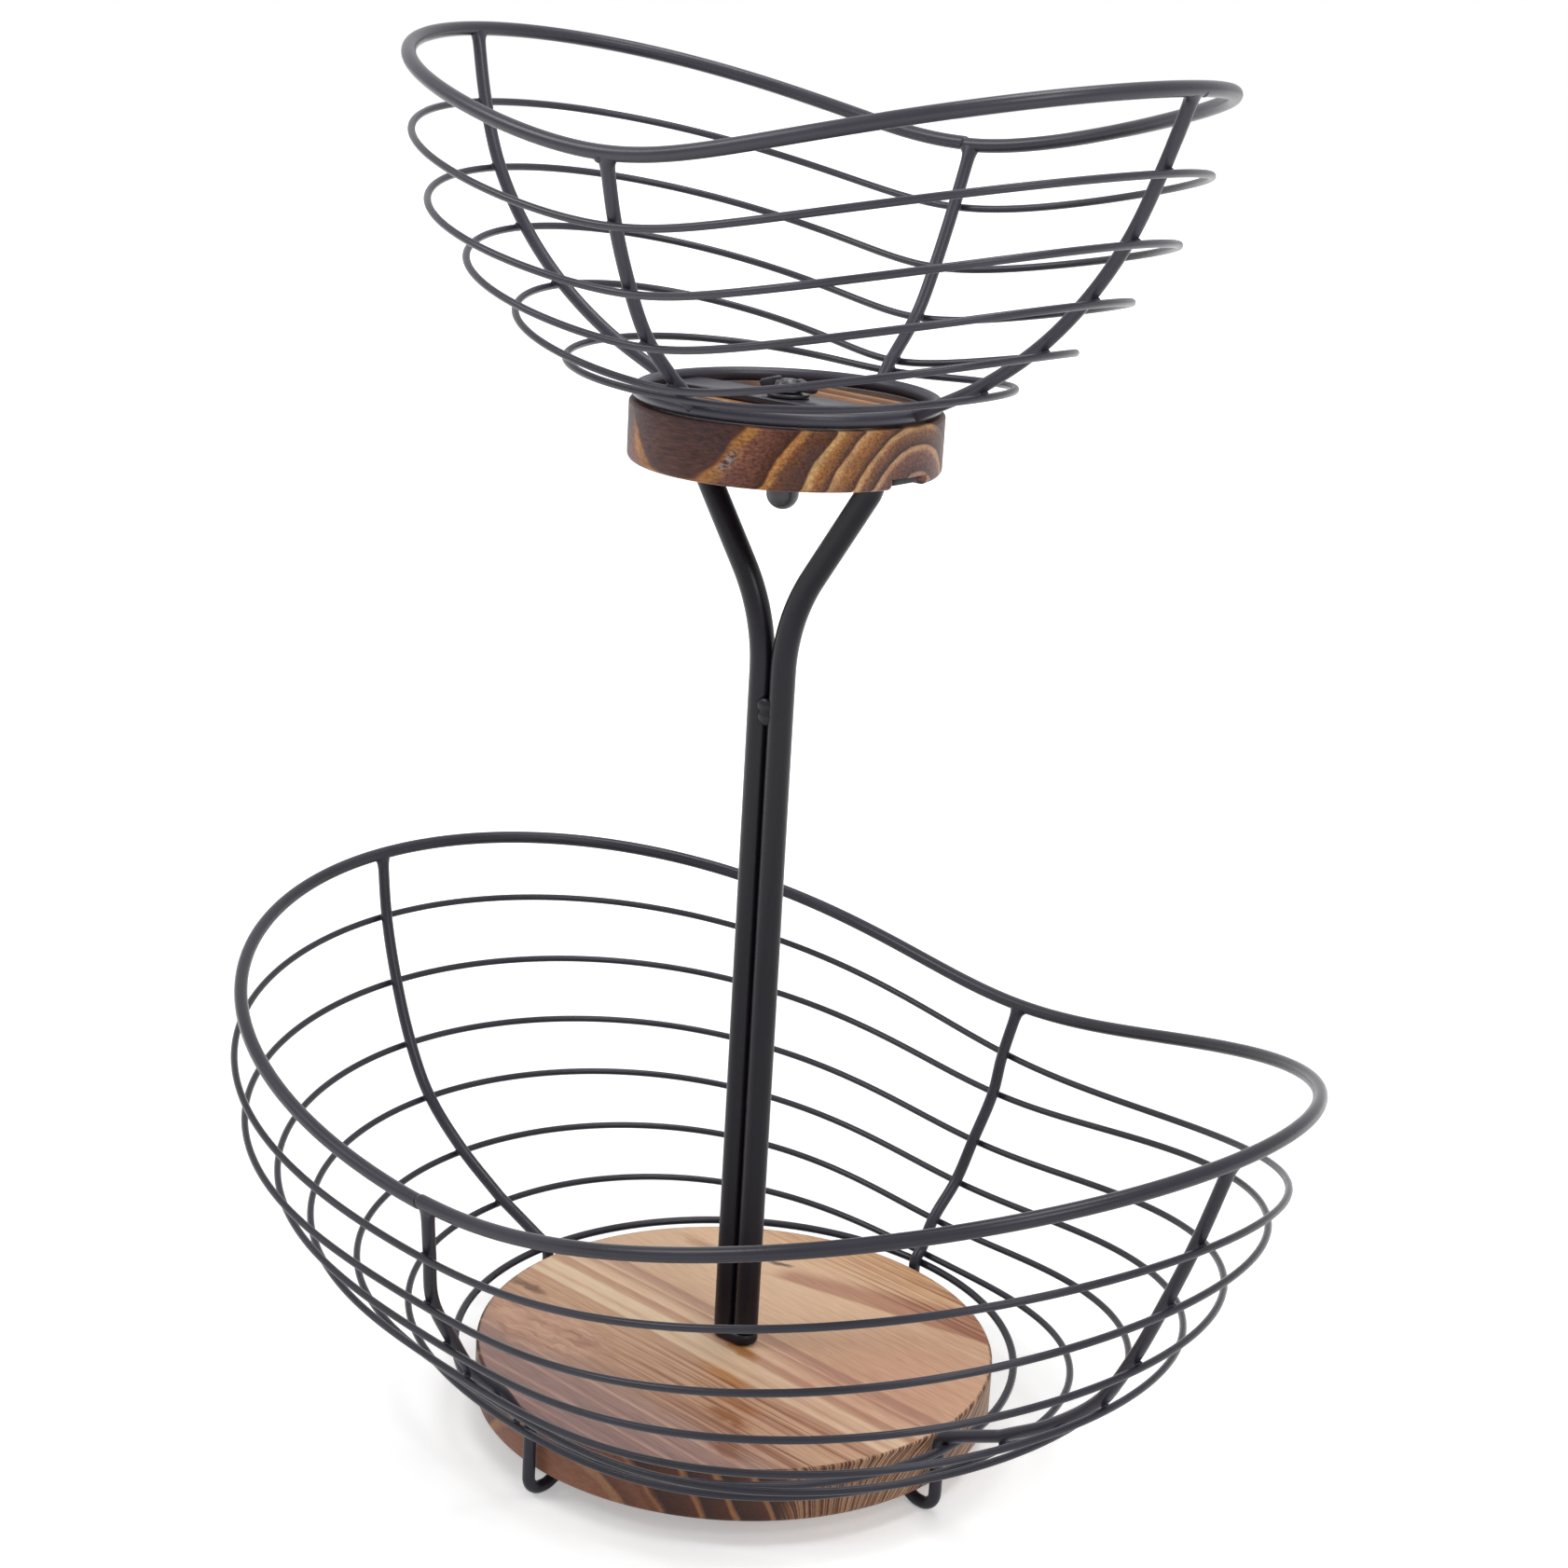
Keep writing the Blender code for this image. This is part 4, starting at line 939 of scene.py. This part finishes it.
def makeCamera():
    # forward from yaw and pitch, turned about the pole axis; right and up square to it, then rolled
    yaw, pitch, roll = view["yaw"], view["pitch"], view["roll"]
    forward = (sin(yaw) * cos(pitch), cos(yaw) * cos(pitch), -sin(pitch))
    forward = turnAboutPole(forward, radians(view["turn"]))
    right = unit(np.cross(forward, (0, 0, 1)))
    up = np.cross(right, forward)
    axes = np.eye(4)
    axes[:3, 0] = cos(roll) * right + sin(roll) * up
    axes[:3, 1] = -sin(roll) * right + cos(roll) * up
    axes[:3, 2], axes[:3, 3] = -forward, view["place"]
    camera = bpy.data.objects.new("photoCamera", bpy.data.cameras.new("photoCamera"))
    camera.data.lens = view["lens"]
    camera.data.sensor_width = view["sensor"]
    camera.data.clip_start = view["near"]
    camera.matrix_world = Matrix(axes.tolist())
    bpy.context.scene.collection.objects.link(camera)
    bpy.context.scene.camera = camera


studio = dict(
    worldStrength=0.45, floorReach=6.0, floorLift=0.34, clearFrom=0.30, clearBy=0.75,
    paperGrain=0.025, paperDark="#f0f0f0", paperPale="#f4f4f4",
    aim=(0, 0, 0.2), lampSize=1.0,
    lamps=(("keyLeft", (-1.2, -1.5, 1.9), 18), ("keyRight", (1.8, -0.4, 1.6), 13.5),
           ("top", (0.1, 0.3, 2.2), 16)),
)


def plainlySeen(add):
    # 1 for the camera and in reflections, 0 for light that falls on the basket
    path = add("LightPath").outputs
    return add("Math MAXIMUM", (path["Is Camera Ray"], path["Is Glossy Ray"]))


def makeStudio():
    # white paper sweep that keeps the shadow and is seen as pure white far from the basket, soft lamps
    # and a white world
    floorMesh, reach = bpy.data.meshes.new("floor"), studio["floorReach"]
    corners = [(-reach, -reach, 0), (reach, -reach, 0), (reach, reach, 0), (-reach, reach, 0)]
    floorMesh.from_pydata(corners, [], [(0, 1, 2, 3)])
    floor = bpy.data.objects.new("floor", floorMesh)
    bpy.context.scene.collection.objects.link(floor)
    material, shader, add, place = newMaterial("whiteSweep")
    paper = add("TexNoise", {"Vector": place, "Scale": 1 / studio["paperGrain"]})
    tone = add("ValToRGB", (paper,), [(0.3, studio["paperDark"]), (0.7, studio["paperPale"])])
    away = add("VectorMath LENGTH", (place,))
    start, end = studio["clearFrom"], studio["clearBy"]
    clear = add("MapRange", (away, start, end, studio["floorLift"], 1.0), **smooth)
    lift = add("Math MULTIPLY", (plainlySeen(add), clear))
    feed(shader, {"Base Color": tone, "Emission Color": (1, 1, 1, 1), "Emission Strength": lift,
                  "Roughness": 0.9, "Specular IOR Level": 0.1})
    floor.data.materials.append(material)

    world = bpy.data.worlds.new("studioWorld")
    world.use_nodes = True
    add = partial(addNode, world.node_tree)
    strength = add("Mix", {0: plainlySeen(add), 2: studio["worldStrength"], 3: 1.0}, data_type="FLOAT")
    feed(world.node_tree.nodes["Background"], {"Color": (1, 1, 1, 1), "Strength": strength})
    bpy.context.scene.world = world

    for name, place, power in studio["lamps"]:
        light = bpy.data.lights.new(name, "AREA")
        light.shape = "DISK"
        light.size = studio["lampSize"]
        light.energy = power
        lamp = bpy.data.objects.new(name, light)
        lamp.location = place
        lamp.rotation_euler = (Vector(studio["aim"]) - Vector(place)).to_track_quat("-Z", "Y").to_euler()
        bpy.context.scene.collection.objects.link(lamp)


makeCamera()
makeStudio()
bpy.context.scene.view_settings.view_transform = "Standard"
print("camera and studio made")
